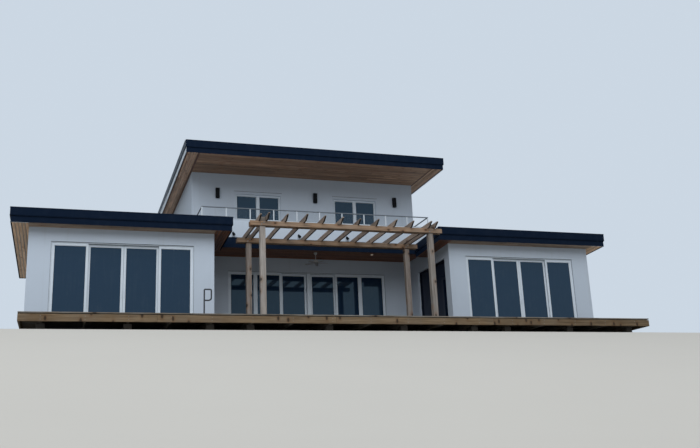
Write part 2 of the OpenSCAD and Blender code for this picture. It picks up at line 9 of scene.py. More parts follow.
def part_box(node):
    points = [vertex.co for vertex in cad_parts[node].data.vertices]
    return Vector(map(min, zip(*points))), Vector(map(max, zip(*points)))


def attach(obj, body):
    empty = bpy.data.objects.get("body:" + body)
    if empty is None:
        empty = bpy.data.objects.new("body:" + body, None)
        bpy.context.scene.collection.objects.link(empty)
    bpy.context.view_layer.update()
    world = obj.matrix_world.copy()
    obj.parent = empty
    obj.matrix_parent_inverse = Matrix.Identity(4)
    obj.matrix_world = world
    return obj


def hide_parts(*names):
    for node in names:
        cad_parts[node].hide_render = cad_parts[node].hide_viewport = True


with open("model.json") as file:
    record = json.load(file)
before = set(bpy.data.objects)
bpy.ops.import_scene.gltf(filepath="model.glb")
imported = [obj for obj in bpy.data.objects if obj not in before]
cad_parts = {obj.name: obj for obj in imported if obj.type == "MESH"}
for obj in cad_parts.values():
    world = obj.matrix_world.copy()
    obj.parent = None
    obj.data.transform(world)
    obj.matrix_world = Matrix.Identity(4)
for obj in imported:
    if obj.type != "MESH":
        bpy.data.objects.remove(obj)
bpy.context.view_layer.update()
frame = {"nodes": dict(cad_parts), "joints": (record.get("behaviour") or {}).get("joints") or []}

# Beach house: pieces and finishes over the fixed frame, in metres.
# Front is -Y, right is +X, up is +Z, and the ground is at height 0.

nodes = frame["nodes"]
chance = random.Random(11)


# Finishes
paint = {}


class Value:
    """A number socket that is used in plain arithmetic."""

    def __init__(self, finish, socket):
        self.finish, self.socket = finish, socket

    def __add__(self, other):
        return self.finish.calc("ADD", self, other)

    __radd__ = __add__

    def __sub__(self, other):
        return self.finish.calc("SUBTRACT", self, other)

    def __rsub__(self, other):
        return self.finish.calc("SUBTRACT", other, self)

    def __mul__(self, other):
        return self.finish.calc("MULTIPLY", self, other)

    __rmul__ = __mul__


class Finish:
    """The nodes of one material, or of the world, over the object's own coordinates."""

    def __init__(self, name, owner=None):
        self.name = name
        self.owner = owner or bpy.data.materials.new(name)
        self.owner.use_nodes = True
        self.tree = self.owner.node_tree
        self.tree.nodes.clear()

    def node(self, kind, settings=None, values=None):
        made = self.tree.nodes.new("ShaderNode" + kind)
        for key, value in (settings or {}).items():
            setattr(made, key, value)
        for key, value in (values or {}).items():
            if isinstance(value, Value):
                value = value.socket
            if isinstance(value, bpy.types.NodeSocket):
                self.tree.links.new(value, made.inputs[key])
            else:
                made.inputs[key].default_value = value
        return made

    def calc(self, operation, *values):
        made = self.node("Math", {"operation": operation}, dict(enumerate(values)))
        return Value(self, made.outputs[0])

    def vector(self, operation, values):
        return self.node("VectorMath", {"operation": operation}, values).outputs[0]

    def coordinates(self):
        """Object coordinates, shifted for each board that carries a mark of its own."""
        place = self.whole = self.node("TexCoord").outputs["Object"]
        mark = self.node("Attribute", {"attribute_name": "board"}).outputs["Vector"]
        self.tone = self.axes(mark)[0]
        return self.vector("ADD", {0: place, 1: self.vector("SCALE", {0: mark, "Scale": 9.0})})

    def axes(self, vector, order="XYZ"):
        parts = self.node("SeparateXYZ", {}, {0: vector}).outputs
        return [Value(self, parts["XYZ".index(letter)]) for letter in order]

    def joined(self, x, y, z):
        return self.node("CombineXYZ", {}, {0: x, 1: y, 2: z}).outputs[0]

    def noise(self, vector, scale, detail=3.0, roughness=0.55, stretch=None):
        if stretch:
            vector = self.vector("MULTIPLY", {0: vector, 1: stretch})
        made = self.node("TexNoise", {}, {
            "Vector": vector, "Scale": scale, "Detail": detail, "Roughness": roughness})
        return Value(self, made.outputs[0])

    def cells(self, vector, scale, across="3D"):
        """Distance from the nearest of many scattered points, and a number for each point."""
        made = self.node("TexVoronoi", {"voronoi_dimensions": across},
                         {"Vector": vector, "Scale": scale})
        return Value(self, made.outputs["Distance"]), self.axes(made.outputs["Color"])[0]

    def span(self, value, start, end, low=0.0, high=1.0):
        """value taken smoothly from start..end to low..high."""
        made = self.node("MapRange", {"interpolation_type": "SMOOTHSTEP"},
                         {0: value, 1: start, 2: end, 3: low, 4: high})
        return Value(self, made.outputs[0])

    def mix(self, share, first, second, blend="MIX"):
        first, second = [(*c, 1.0) if isinstance(c, tuple) else c for c in (first, second)]
        made = self.node("Mix", {"data_type": "RGBA", "blend_type": blend},
                         {0: share, 6: first, 7: second})
        return made.outputs[2]

    def lit(self, colour, share):
        """colour times a number that varies."""
        return self.mix(1.0, colour, self.joined(share, share, share), "MULTIPLY")

    def relief(self, height, depth, strength=1.0):
        values = {"Height": height, "Distance": depth, "Strength": strength}
        return self.node("Bump", {}, values).outputs[0]

    def close(self, colour, roughness, normal, **fixed):
        """Ends the material and puts it among the paints under its name."""
        values = {"Base Color": colour, "Roughness": roughness, "Normal": normal}
        values.update({key.replace("_", " "): value for key, value in fixed.items()})
        shader = self.node("BsdfPrincipled", {}, values)
        self.node("OutputMaterial", {}, {"Surface": shader.outputs[0]})
        paint[self.name] = self.owner


def timber(name, along, pale, dark, worn, wear, knots, spread=0.34, roughness=0.72,
           through="side", size=1.0, bands=0.0, under=1.0, shaded_above=None, shape=(0.62, 1.0)):
    """Boards whose grain runs along one axis, with knots that go through one way.

    bands is how far the tone changes from board to board of a large area, under is the tone that
    the undersides are painted down to as painted shade, and shaded_above is the height above which
    posts are painted half as dark as painted shade.
    of the undersides, which never bleach, and crown is the height over which posts stay brown.
    The smaller the numbers of shape are, the longer the knots are along and across the grain.
    """
    look = Finish(name)
    place = look.coordinates()
    order = {"X": "XYZ", "Y": "YXZ", "Z": "ZXY"}[along]
    run, side, rise = look.axes(place, order)

    def drawn(lengthwise, across, detail, rough=0.55):
        """Noise that is drawn out along the grain."""
        spot = look.joined(run * lengthwise, side * across, rise * across)
        return look.noise(spot, 1.0, detail, rough)

    swing = drawn(0.9, 3.0, 2.0)
    streaks = drawn(1.4, 26.0, 5.0, 0.6)
    fibres = drawn(6.0, 150.0, 3.0, 0.6)
    split = look.span(drawn(1.1, 55.0, 2.0), 0.30, 0.345)
    blotch = look.noise(place, 1.7, 3.0)
    face = rise if through == "side" else side
    far, pick = look.cells(look.joined(run * shape[0], face * shape[1], 0.0), 4.2, "2D")
    chosen = look.span(pick, 0.98 - knots, 1.0 - knots)
    near = look.span(far, 0.10, 0.42, 1.0, 0.0) * chosen
    heart = look.span(far, 0.07 * size, 0.15 * size, 1.0, 0.0) * chosen
    rings = look.calc("SINE", (side + rise * 0.6) * 420.0 + swing * 38.0 + near * 9.0)
    base = look.mix(look.span(streaks, 0.28, 0.72), dark, pale)
    base = look.mix(look.span(blotch, 0.35, 0.75) * wear, base, worn)
    base = look.lit(base, 0.93 + rings * 0.07 + (fibres - 0.5) * 0.22)
    base = look.lit(base, 1.0 - spread / 2.0 + look.tone * spread)
    if bands:
        far_side, far_rise = look.axes(look.whole, order)[1:]
        batch = look.noise(look.joined(run * 0.05, far_side * 3.4, far_rise), 1.0, 1.0)
        base = look.lit(base, look.span(batch, 0.36, 0.64, 1.0 - bands, 1.0 + bands))
    # Above the foot of the planks a post is painted half as dark: painted shade.
    if shaded_above:
        height = look.axes(look.whole)[2]
        base = look.mix(look.span(height, shaded_above - 0.04, shaded_above + 0.04), base, look.lit(base, 0.5))
    # Faces that look down are painted darker: painted shade.
    if under < 1.0:
        facing = look.axes(look.node("NewGeometry").outputs["Normal"])[2]
        base = look.lit(base, look.span(facing, -0.8, -0.3, under, 1.0))
    base = look.mix(near * 0.45, base, (dark[0] * 1.1, dark[1] * 0.75, dark[2] * 0.5))
    base = look.mix(heart * 0.90, base, tuple(c * 0.2 for c in dark))
    base = look.lit(base, 0.55 + split * 0.45)
    relief = look.relief(rings * 0.12 + fibres * 0.5 + split * 1.2 - heart * 0.4, 0.0025, 0.7)
    look.close(base, roughness + (fibres - 0.5) * 0.2 - heart * 0.1, relief,
            Specular_IOR_Level=0.3)


def render_coat(name, colour):
    """Painted cement render: a float finish with dust at the foot and faint runs."""
    look = Finish(name)
    place = look.coordinates()
    height = look.axes(place)[2]
    cloud = look.noise(place, 0.55, 4.0)
    patch = look.noise(place, 3.2, 3.0)
    runs = look.noise(place, 1.0, 4.0, 0.6, (7.0, 7.0, 0.35))
    grain = look.noise(place, 240.0, 2.0, 0.7)
    sweep = look.noise(place, 16.0, 3.0, 0.6, (1.0, 1.0, 2.4))
    base = look.lit(colour, 0.945 + cloud * 0.06 + (patch - 0.5) * 0.05 + (grain - 0.5) * 0.06)
    base = look.mix(look.span(runs, 0.52, 0.80) * 0.20, base, (0.33, 0.335, 0.33))
    foot = look.span(height + (patch - 0.5) * 0.5, 0.42, 0.95, 1.0, 0.0)
    base = look.mix(foot * 0.22, base, (0.50, 0.47, 0.41))
    relief = look.relief(grain * 0.6 + sweep * 1.1, 0.0035, 0.55)
    look.close(base, 0.86 + (patch - 0.5) * 0.1, relief, Specular_IOR_Level=0.3)


def sheet_metal(name, colour, roughness, dust, brushed=None, **fixed):
    """Coated or brushed sheet: faint waves, salt dust and a slightly uneven gloss."""
    look = Finish(name)
    place = look.coordinates()
    wave = look.noise(place, 1.3, 2.0)
    film = look.noise(place, 5.0, 5.0, 0.65)
    speck = look.noise(place, 130.0, 2.0, 0.7)
    runs = look.noise(place, 1.0, 4.0, 0.6, (14.0, 14.0, 0.8))
    base = look.lit(colour, 0.88 + film * 0.24 + (speck - 0.5) * 0.12)
    salt = look.span(film * 0.6 + runs * 0.4, 0.45, 0.72)
    base = look.mix(salt * dust, base, (0.42, 0.44, 0.45))
    height = wave * 2.0 + speck * 0.05
    if brushed:
        lines = look.noise(place, 1.0, 2.0, 0.6, brushed)
        height = height + lines * 0.25
        base = look.lit(base, 0.92 + lines * 0.16)
    rough = roughness + (film - 0.5) * 0.22 + salt * 0.12
    look.close(base, rough, look.relief(height, 0.004, 0.35), **fixed)


def concrete(name, colour):
    """Cast concrete with clouds, sand grains and small air holes."""
    look = Finish(name)
    place = look.coordinates()
    cloud = look.noise(place, 1.1, 5.0, 0.6)
    sand = look.noise(place, 160.0, 3.0, 0.7)
    pit = look.span(look.cells(place, 34.0)[0], 0.06, 0.16)
    base = look.lit(colour, 0.72 + cloud * 0.36 + (sand - 0.5) * 0.2 + look.tone * 0.12)
    base = look.lit(base, 0.7 + pit * 0.3)
    look.close(base, 0.8 + (cloud - 0.5) * 0.2, look.relief(sand * 0.5 + pit * 0.8, 0.002, 0.6))


def glass(name, colour, salt_share, **fixed):
    """Glass with a thin film of salt, runs and a slow wave in its face."""
    look = Finish(name)
    place = look.coordinates()
    height = look.axes(place)[2]
    film = look.noise(place, 3.0, 5.0, 0.65)
    runs = look.noise(place, 1.0, 4.0, 0.65, (16.0, 16.0, 1.1))
    wave = look.noise(place, 0.9, 1.0)
    low = look.span(height + (film - 0.5) * 0.4, 0.5, 0.95, 1.0, 0.0)
    salt = (look.span(film * 0.5 + runs * 0.5, 0.46, 0.70) + low) * salt_share
    base = look.mix(salt, colour, (0.45, 0.47, 0.48))
    if "Alpha" in fixed:
        fixed["Alpha"] = salt * 0.5 + fixed["Alpha"]
    look.close(base, 0.03 + salt * 1.2, look.relief(wave, 0.004, 0.25), **fixed)


def lamp_lens(name, colour, **fixed):
    """Frosted lens of a lamp."""
    look = Finish(name)
    frost = look.noise(look.coordinates(), 420.0, 2.0)
    base = look.lit(colour, 0.9 + frost * 0.15)
    look.close(base, 0.42 + frost * 0.2, look.relief(frost, 0.0006, 0.5), **fixed)


# Timber colours: the pale and the dark of the grain, and the worn face
RIM = ((0.215, 0.150, 0.088), (0.105, 0.066, 0.034), (0.160, 0.130, 0.100))
DECKING = ((0.20, 0.165, 0.125), (0.095, 0.072, 0.050), (0.215, 0.205, 0.190))
BEAMS = ((0.340, 0.228, 0.150), (0.165, 0.102, 0.062), (0.250, 0.205, 0.170))
RAFTERS = ((0.355, 0.272, 0.218), (0.172, 0.127, 0.098), (0.275, 0.250, 0.238))
POSTS = ((0.360, 0.320, 0.290), (0.190, 0.160, 0.138), (0.330, 0.315, 0.305))
REAR_POSTS = ((0.345, 0.292, 0.262), (0.182, 0.145, 0.122), (0.305, 0.275, 0.255))
# The soffit linings are one timber in lit and shaded copies: the sides of the eaves are painted
# lighter as painted light, the fronts darker, and the porch ceiling, the inner eaves and the cover
# strips darkest, as painted shade.
CEILING = ((0.440, 0.268, 0.170), (0.215, 0.112, 0.062), (0.300, 0.215, 0.150))
WING_FRONT = ((0.425, 0.310, 0.225), (0.210, 0.135, 0.085), (0.290, 0.240, 0.190))
UPPER_SIDES = ((0.640, 0.420, 0.285), (0.360, 0.205, 0.125), (0.470, 0.330, 0.245))
EAVES = ((0.800, 0.545, 0.350), (0.470, 0.280, 0.160), (0.600, 0.440, 0.310))
PORCH = ((0.250, 0.110, 0.062), (0.120, 0.048, 0.026), (0.170, 0.090, 0.055))

for axis in "XY":
    timber("rim_timber_" + axis, axis, *RIM, wear=0.40, knots=0.58, spread=0.22, size=1.3,
           shape=(1.15, 0.60))
    timber("deck_timber_" + axis, axis, *DECKING, wear=0.8, knots=0.3, roughness=0.8,
           through="rise")
    timber("porch_shade_painted_timber_" + axis, axis, *PORCH, wear=0.25, knots=0.35, spread=0.60,
           roughness=0.5, through="rise", size=0.6)
# Beams and rafters get dark undersides, which are painted shade.
for name, axis, colours in (("beam_timber", "X", BEAMS), ("rafter_timber", "Y", RAFTERS)):
    timber(name, axis, *colours, wear=0.45, knots=0.45, spread=0.50, under=0.10)
# Posts are painted darker above the foot of the planks, as painted shade.
for name, colours in (("front_post_timber", POSTS), ("rear_post_timber", REAR_POSTS)):
    timber(name, "Z", *colours, wear=0.5, knots=0.45, spread=0.50, roughness=0.75, through="rise",
           shaded_above=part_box("pergola_beams")[0].z)
for name, axis, colours, bands in (("upper_front_timber", "X", CEILING, 0.14),
                                   ("upper_sides_light_painted_timber", "Y", UPPER_SIDES, 0.0),
                                   ("wing_front_timber", "X", WING_FRONT, 0.14),
                                   ("wing_sides_light_painted_timber", "Y", EAVES, 0.0)):
    timber(name, axis, *colours, wear=0.25, knots=0.35, spread=0.65, roughness=0.5, through="rise",
           size=0.7, bands=bands)
render_coat("white_render", (0.49, 0.55, 0.635))
sheet_metal("navy_metal", (0.0048, 0.0106, 0.0242), 0.5, 0.01, Specular_IOR_Level=0.03)
# A lighter copy of the navy for the side faces of the upper fascia: painted sheen.
sheet_metal("navy_painted_sheen_metal", (0.010, 0.024, 0.042), 0.45, 0.01, Specular_IOR_Level=0.08)
sheet_metal("roof_metal", (0.26, 0.275, 0.29), 0.5, 0.25, (2.0, 0.2, 2.0))
sheet_metal("white_aluminium", (0.60, 0.66, 0.73), 0.45, 0.10)
sheet_metal("rail_metal", (0.30, 0.33, 0.36), 0.35, 0.10, (8.0, 60.0, 60.0), Metallic=0.8)
sheet_metal("hand_rail_metal", (0.135, 0.155, 0.180), 0.45, 0.05, (3.0, 60.0, 60.0),
            Specular_IOR_Level=0.3)
sheet_metal("rail_post_metal", (0.56, 0.60, 0.65), 0.45, 0.05, (60.0, 60.0, 3.0),
            Specular_IOR_Level=0.3)
sheet_metal("fixing_metal", (0.30, 0.31, 0.32), 0.45, 0.2, Metallic=0.9)
sheet_metal("dark_aluminium", (0.003, 0.006, 0.016), 0.42, 0.01, Specular_IOR_Level=0.08)
sheet_metal("black_metal", (0.003, 0.004, 0.006), 0.5, 0.01, Specular_IOR_Level=0.15)
sheet_metal("slate_metal", (0.060, 0.066, 0.078), 0.45, 0.05)
sheet_metal("deck_rail_metal", (0.030, 0.032, 0.038), 0.45, 0.03)
sheet_metal("fan_metal", (0.58, 0.58, 0.58), 0.40, 0.05)
sheet_metal("fan_blade_metal", (0.30, 0.30, 0.31), 0.45, 0.05)
sheet_metal("gasket_rubber", (0.012, 0.013, 0.015), 0.75, 0.02)
concrete("concrete", (0.34, 0.335, 0.32))
# A dark copy of the concrete for the piers under the deck: painted shade.
concrete("concrete_in_painted_shade", (0.062, 0.052, 0.043))
concrete("floor_tile", (0.40, 0.39, 0.37))
glass("clear_glass", (0.008, 0.022, 0.050), 0.012, IOR=1.52, Specular_Tint=(0.62, 0.88, 1.0, 1.0))
# A darker copy of the clear glass with a weaker reflection, for the side doors in the porch:
# painted shade.
glass("shaded_glass", (0.0015, 0.0055, 0.021), 0.004, IOR=1.45, Specular_IOR_Level=0.25,
      Specular_Tint=(0.10, 0.20, 0.42, 1.0))
glass("rail_glass", (0.30, 0.38, 0.44), 0.008, IOR=1.45, Alpha=0.02)
lamp_lens("light_lens", (0.62, 0.62, 0.58))
lamp_lens("lit_lens", (0.75, 0.62, 0.50), Emission_Strength=0.35,
          Emission_Color=(1.0, 0.78, 0.58, 1.0))


def finish_with(piece, material):
    """Gives a piece one paint in place of what it had."""
    piece.data.materials.clear()
    piece.data.materials.append(paint[material])


# Modelling by hand
EASE = 0.003
ALONG_X, ALONG_Y = 0, 1


def begin(piece=None):
    """Nothing is left selected but the piece that is worked on."""
    bpy.ops.object.select_all(action="DESELECT")
    if piece:
        bpy.context.view_layer.objects.active = piece
        piece.select_set(True)


def taken(name):
    """The piece that was just added, named, with its place in its mesh."""
    piece = bpy.context.active_object
    piece.name = name
    piece.data.name = name
    bpy.ops.object.transform_apply(location=True, rotation=True, scale=True)
    return piece


def edit(piece, kind="FACE", test=None):
    """Opens edit mode with only those faces or edges selected that pass the test."""
    begin(piece)
    bpy.ops.object.mode_set(mode="EDIT")
    bpy.ops.mesh.select_mode(type=kind)
    bpy.ops.mesh.select_all(action="DESELECT" if test else "SELECT")
    if test:
        bpy.ops.object.mode_set(mode="OBJECT")
        mesh = piece.data
        if kind == "FACE":
            for face in mesh.polygons:
                face.select = test(face.center, face.normal)
        else:
            for edge in mesh.edges:
                ends = [mesh.vertices[i].co for i in edge.vertices]
                edge.select = test(*ends)
        bpy.ops.object.mode_set(mode="EDIT")


def done():
    """Leaves edit mode."""
    bpy.ops.object.mode_set(mode="OBJECT")


def corners(first, second):
    """Two opposite corners of a box, sorted into its lowest and its highest."""
    return [tuple(pick(pair) for pair in zip(first, second)) for pick in (min, max)]


def eased(piece, width, steps=1, test=None):
    """Bevels the edges that pass the test, or all of them."""
    edit(piece, "EDGE" if test else "FACE", test)
    bpy.ops.mesh.bevel(offset=width, segments=steps, affect="EDGES")
    done()
    return piece


def block(name, first, second, ease=EASE, steps=1):
    """A board or block between two opposite corners, with its edges eased."""
    low, high = map(Vector, corners(first, second))
    begin()
    bpy.ops.mesh.primitive_cube_add(size=1, location=(low + high) / 2, scale=high - low)
    piece = taken(name)
    return eased(piece, ease, steps) if ease else piece


def sunk(piece, test, rim, depth):
    """Insets the chosen faces one by one and pushes them in along their own way."""
    edit(piece, "FACE", test)
    bpy.ops.mesh.inset(thickness=rim, depth=-depth, use_individual=True)
    done()
    return piece


def opened(name, low, high, width, axis, ease=0.0):
    """A frame: a block whose two faces across an axis are inset and bridged."""
    piece = block(name, low, high, 0.0)
    edit(piece, "FACE", lambda centre, normal: abs(normal[axis]) > 0.9)
    bpy.ops.mesh.inset(thickness=width, use_individual=True)
    bpy.ops.mesh.bridge_edge_loops()
    done()
    if ease:
        modified(piece, "BEVEL", width=ease, segments=1, limit_method="ANGLE", angle_limit=0.6)
    return piece


def modified(piece, kind, **settings):
    """Adds a modifier, sets it and applies it."""
    begin(piece)
    added = piece.modifiers.new("work", kind)
    for key, value in settings.items():
        setattr(added, key, value)
    bpy.ops.object.modifier_apply(modifier=added.name)
    return piece


def in_row(piece, step, count):
    """The piece repeated in a straight row, as one mesh."""
    return modified(piece, "ARRAY", use_relative_offset=False, use_constant_offset=True,
                    constant_offset_displace=step, count=count)


def disc(name, centre, radius, sides):
    """A flat disc, left open in edit mode to be drawn out."""
    begin()
    bpy.ops.mesh.primitive_circle_add(
        vertices=sides, radius=radius, fill_type="NGON", location=centre)
    piece = taken(name)
    edit(piece)
    return piece


def faced_out(merged=False):
    """Leaves edit mode with all faces turned outwards."""
    bpy.ops.mesh.select_all(action="SELECT")
    if merged:
        bpy.ops.mesh.remove_doubles(threshold=0.0001)
    bpy.ops.mesh.normals_make_consistent(inside=False)
    done()


def rounded(piece):
    """Shades a round shape smoothly, with its sharp edges kept."""
    begin(piece)
    bpy.ops.object.shade_smooth_by_angle(angle=0.7)
    return piece


def turned(name, foot, profile, sides=24, aim=None):
    """A turned shape: a disc drawn out through pairs of (radius, height), then aimed."""
    radius, height = profile[0]
    piece = disc(name, (0, 0, height), radius, sides)
    for next_radius, next_height in profile[1:]:
        bpy.ops.mesh.extrude_region_move(
            TRANSFORM_OT_translate={"value": (0, 0, next_height - height)})
        share = next_radius / radius
        bpy.ops.transform.resize(value=(share, share, 1), center_override=(0, 0, next_height))
        radius, height = next_radius, next_height
    faced_out()
    if aim:
        turn = Vector((0, 0, 1)).rotation_difference(Vector(aim).normalized())
        piece.data.transform(turn.to_matrix().to_4x4())
    piece.data.transform(Matrix.Translation(Vector(foot)))
    return rounded(piece)


def rod(name, start, end, radius, sides=16):
    """A round bar between two points."""
    start, end = Vector(start), Vector(end)
    length = (end - start).length
    ease = radius * 0.2
    profile = [
        (radius - ease, 0.0), (radius, ease), (radius, length - ease), (radius - ease, length)
    ]
    return turned(name, start, profile, sides, end - start)


def bent(name, start, radius, moves, sides=16):
    """A bent tube: a disc taken straight on by a vector, or round (centre, axis, angle)."""
    piece = disc(name, start, radius, sides)
    for move in moves:
        if len(move) == 1:
            bpy.ops.mesh.extrude_region_move(TRANSFORM_OT_translate={"value": move[0]})
        else:
            centre, axis, angle = move
            bpy.ops.mesh.spin(steps=6, angle=-angle, center=centre, axis=axis)
    faced_out(merged=True)
    return rounded(piece)


def turned_over(piece):
    """Turns the faces of a sheet to its other side."""
    edit(piece)
    bpy.ops.mesh.flip_normals()
    done()


def sheet_run(name, path, inside, low, high, depth, lips=()):
    """Folded sheet round a path seen from above, with lips proud between pairs of levels."""
    first, second = Vector((*path[0], 0)), Vector((*path[1], 0))
    along = second - first
    begin()
    bpy.ops.mesh.primitive_plane_add(
        size=1, location=(first + second) / 2 + Vector((0, 0, (low + high) / 2)),
        rotation=(math.pi / 2, 0, math.atan2(along.y, along.x)),
    )
    piece = bpy.context.active_object
    piece.scale = (along.length, high - low, 1)
    piece = taken(name)
    corner = second
    for following in path[2:]:
        following = Vector((*following, 0))
        edit(piece, "EDGE", lambda a, b: all(
            (v.xy - corner.xy).length < 0.001 for v in (a, b)))
        bpy.ops.mesh.extrude_region_move(TRANSFORM_OT_translate={"value": following - corner})
        done()
        corner = following
    for level in sorted({level for lip in lips for level in lip[:2]}):
        if low + 0.0005 < level < high - 0.0005:
            edit(piece)
            bpy.ops.mesh.bisect(plane_co=(0, 0, level), plane_no=(0, 0, 1))
            done()
    edit(piece)
    faced_out()
    face = piece.data.polygons[0]
    if face.normal.xy.dot(face.center.xy - Vector(inside)) < 0:
        turned_over(piece)
    for low_lip, high_lip, proud in lips:
        edit(piece, "FACE", lambda centre, normal: low_lip < centre.z < high_lip)
        bpy.ops.mesh.extrude_region_shrink_fatten(
            TRANSFORM_OT_shrink_fatten={"value": proud, "use_even_offset": True})
        done()
    return modified(piece, "SOLIDIFY", thickness=depth, offset=-1)


def mark(piece, tone=None):
    """Gives a board its own place in the grain and its own tone."""
    layer = piece.data.attributes.new("board", "FLOAT_VECTOR", "POINT")
    value = [chance.random() for _ in range(3)]
    if tone is not None:
        value[0] = tone + value[0] * 0.1
    layer.data.foreach_set("vector", value * len(piece.data.vertices))
    return piece


def gather(name, parts, material, body="house", stands_for=None):
    """Makes one piece of several, paints it and lets it ride."""
    begin(parts[0])
    for part in parts:
        part.select_set(True)
    if len(parts) > 1:
        bpy.ops.object.join()
    piece = bpy.context.active_object
    piece.name = name
    piece.data.name = name
    finish_with(piece, material)
    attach(piece, body)
    if stands_for:
        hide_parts(stands_for)
    return piece


def solids(node):
    """The lowest and highest corner of each separate solid of a CAD node, left to right."""
    mesh = nodes[node].data
    home = {}

    def root(key):
        while home[key] != key:
            home[key] = home[home[key]]
            key = home[key]
        return key

    keys = [tuple(round(c * 2000) for c in v.co) for v in mesh.vertices]
    for key in keys:
        home.setdefault(key, key)
    for face in mesh.polygons:
        first = root(keys[face.vertices[0]])
        for i in face.vertices[1:]:
            home[root(keys[i])] = first
    boxes = {}
    for vertex, key in zip(mesh.vertices, keys):
        low, high = boxes.setdefault(root(key), (vertex.co.copy(), vertex.co.copy()))
        for axis in range(3):
            low[axis] = min(low[axis], vertex.co[axis])
            high[axis] = max(high[axis], vertex.co[axis])
    return sorted(boxes.values(), key=lambda box: (round(box[0].x, 3), round(box[0].y, 3)))


def worked_copy(node, ease):
    """The solids of a CAD node as separate pieces with merged faces and eased edges."""
    piece = bpy.data.objects.new(node, nodes[node].data.copy())
    bpy.context.scene.collection.objects.link(piece)
    piece.data.materials.clear()
    edit(piece)
    bpy.ops.mesh.remove_doubles(threshold=0.0002)
    bpy.ops.mesh.dissolve_limited(angle_limit=0.01)
    done()
    modified(piece, "BEVEL", width=ease, segments=1, limit_method="ANGLE", angle_limit=0.5)
    edit(piece)
    bpy.ops.mesh.separate(type="LOOSE")
    done()
    return list(bpy.context.selected_objects)


def planed(node, material, body="house", ease=EASE, tone=None):
    """A CAD node shown by a copy with eased edges, each solid marked as a board."""
    parts = worked_copy(node, ease)
    for part in sorted(parts, key=lambda p: tuple(round(c, 3) for c in p.data.vertices[0].co)):
        mark(part, tone(part.data.vertices[0].co) if tone else None)
    return gather(node + "_finished", parts, material, body, node)


def reach_of(low, high):
    """How far from the middle a box on one side of the house begins and ends."""
    return sorted((abs(low.x), abs(high.x)))


# Places and falls that several pieces share
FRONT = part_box("deck_boards")[0].y
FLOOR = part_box("deck_boards")[1].z
WING_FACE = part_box("front_walls")[0].y
WING_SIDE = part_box("front_walls")[1].x
WING_BACK = min(high.y for low, high in solids("rear_walls"))
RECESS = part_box("porch_ceiling")[1].x
HOUSE_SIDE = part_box("upper_floor")[1].x
HOUSE_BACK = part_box("upper_rear_wall")[1].y
PORCH_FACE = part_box("upper_front_wall")[0].y
BALCONY_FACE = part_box("balcony_parapet")[0].y
BALCONY_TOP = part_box("balcony_parapet")[1].z
UPPER_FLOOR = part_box("upper_floor")[1].z
ROOF_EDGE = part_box("wing_fascia_top")[0].y
FASCIA_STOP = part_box("balcony_fascia")[0].y
SIDES = ((-1, "left"), (1, "right"))


def fall_of(node):
    """How far the top of a node falls for each metre towards the rear."""
    low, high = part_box(node)
    tops = [
        max(v.co.z for v in nodes[node].data.vertices if abs(v.co.y - y) < 0.001)
        for y in (low.y, high.y)
    ]
    return (tops[0] - tops[1]) / (high.y - low.y)


WING_FALL = fall_of("wing_fascia_top")


def wing_levels(node):
    """Lowest and highest level of a wing node as they would be with a level roof."""
    levels = [v.co.z + WING_FALL * (v.co.y - ROOF_EDGE) for v in nodes[node].data.vertices]
    return min(levels), max(levels)


def fallen(piece, fall=WING_FALL, edge=ROOF_EDGE):
    """Lets a level piece down to the fall of its roof, hinged at the front edge."""
    down = Matrix.Identity(4)
    down[2][1] = -fall
    down[2][3] = fall * edge
    piece.data.transform(down)
    return piece


# Deck: boards with gaps, rim boards with butt joints, joists, piers and screws
DECK_ROWS = 41
DECK_PITCH = (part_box("deck_boards")[1].y - FRONT) / DECK_ROWS
DECK_GAP = 0.005


def deck_boards():
    """Rows of boards with staggered butt joints; past the wings' face they fill the recess."""
    low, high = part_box("deck_boards")
    worn, joint = 0.0012, 0.001
    parts = []
    for row in range(DECK_ROWS):
        near = low.y + row * DECK_PITCH
        far = near + DECK_PITCH - DECK_GAP
        before_wing = near < WING_FACE - 0.02
        half = high.x if before_wing else RECESS - 0.002
        far = min(far, WING_FACE - 0.001) if before_wing else far
        length = half / 2
        start = -half - (row % 2) * length / 2
        while start < half:
            left, right = max(start, -half), min(start + length, half)
            if right - left > 0.2:
                top = high.z - chance.random() * worn
                parts.append(mark(block("board", (left + joint, near, low.z + 0.008),
                                        (right - joint, far, top), 0.0035)))
            start += length
    gather("deck_boards_laid", parts, "deck_timber_X", stands_for="deck_boards")


def deck_rim():
    """Rim boards butted end to end, and a black strip under the first deck board that is painted
    shade for the gap over the rim.
    """
    low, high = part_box("deck_rim")
    thick, gap = 0.045, 0.0015
    top = high.z - 0.012
    joints = [low.x, -5.55, -0.96, 3.62, high.x]
    near, far = low.y + 0.003, low.y + thick
    front = [mark(block("rim", (left + gap, near, low.z), (right - gap, far, top), 0.004))
             for left, right in zip(joints, joints[1:])]
    sides = [mark(block("rim", (side, far + 0.001, low.z), (side + thick, high.y, top), 0.004))
             for side in (low.x, high.x - thick)]
    gather("deck_rim_front", front, "rim_timber_X", stands_for="deck_rim")
    gather("deck_rim_sides", sides, "rim_timber_Y")
    # A black strip in the gap under the first board: painted shade.
    shade_strip = block("shade_strip", (low.x + 0.05, low.y + 0.03, top - 0.004),
                    (high.x - 0.05, low.y + 0.06, high.z + 0.006), 0.002)
    gather("deck_shade_strip", [shade_strip], "gasket_rubber")


def joist_places():
    """The middle and the far end of each joist."""
    return [((low.x + high.x) / 2, high.y) for low, high in solids("deck_joists")]


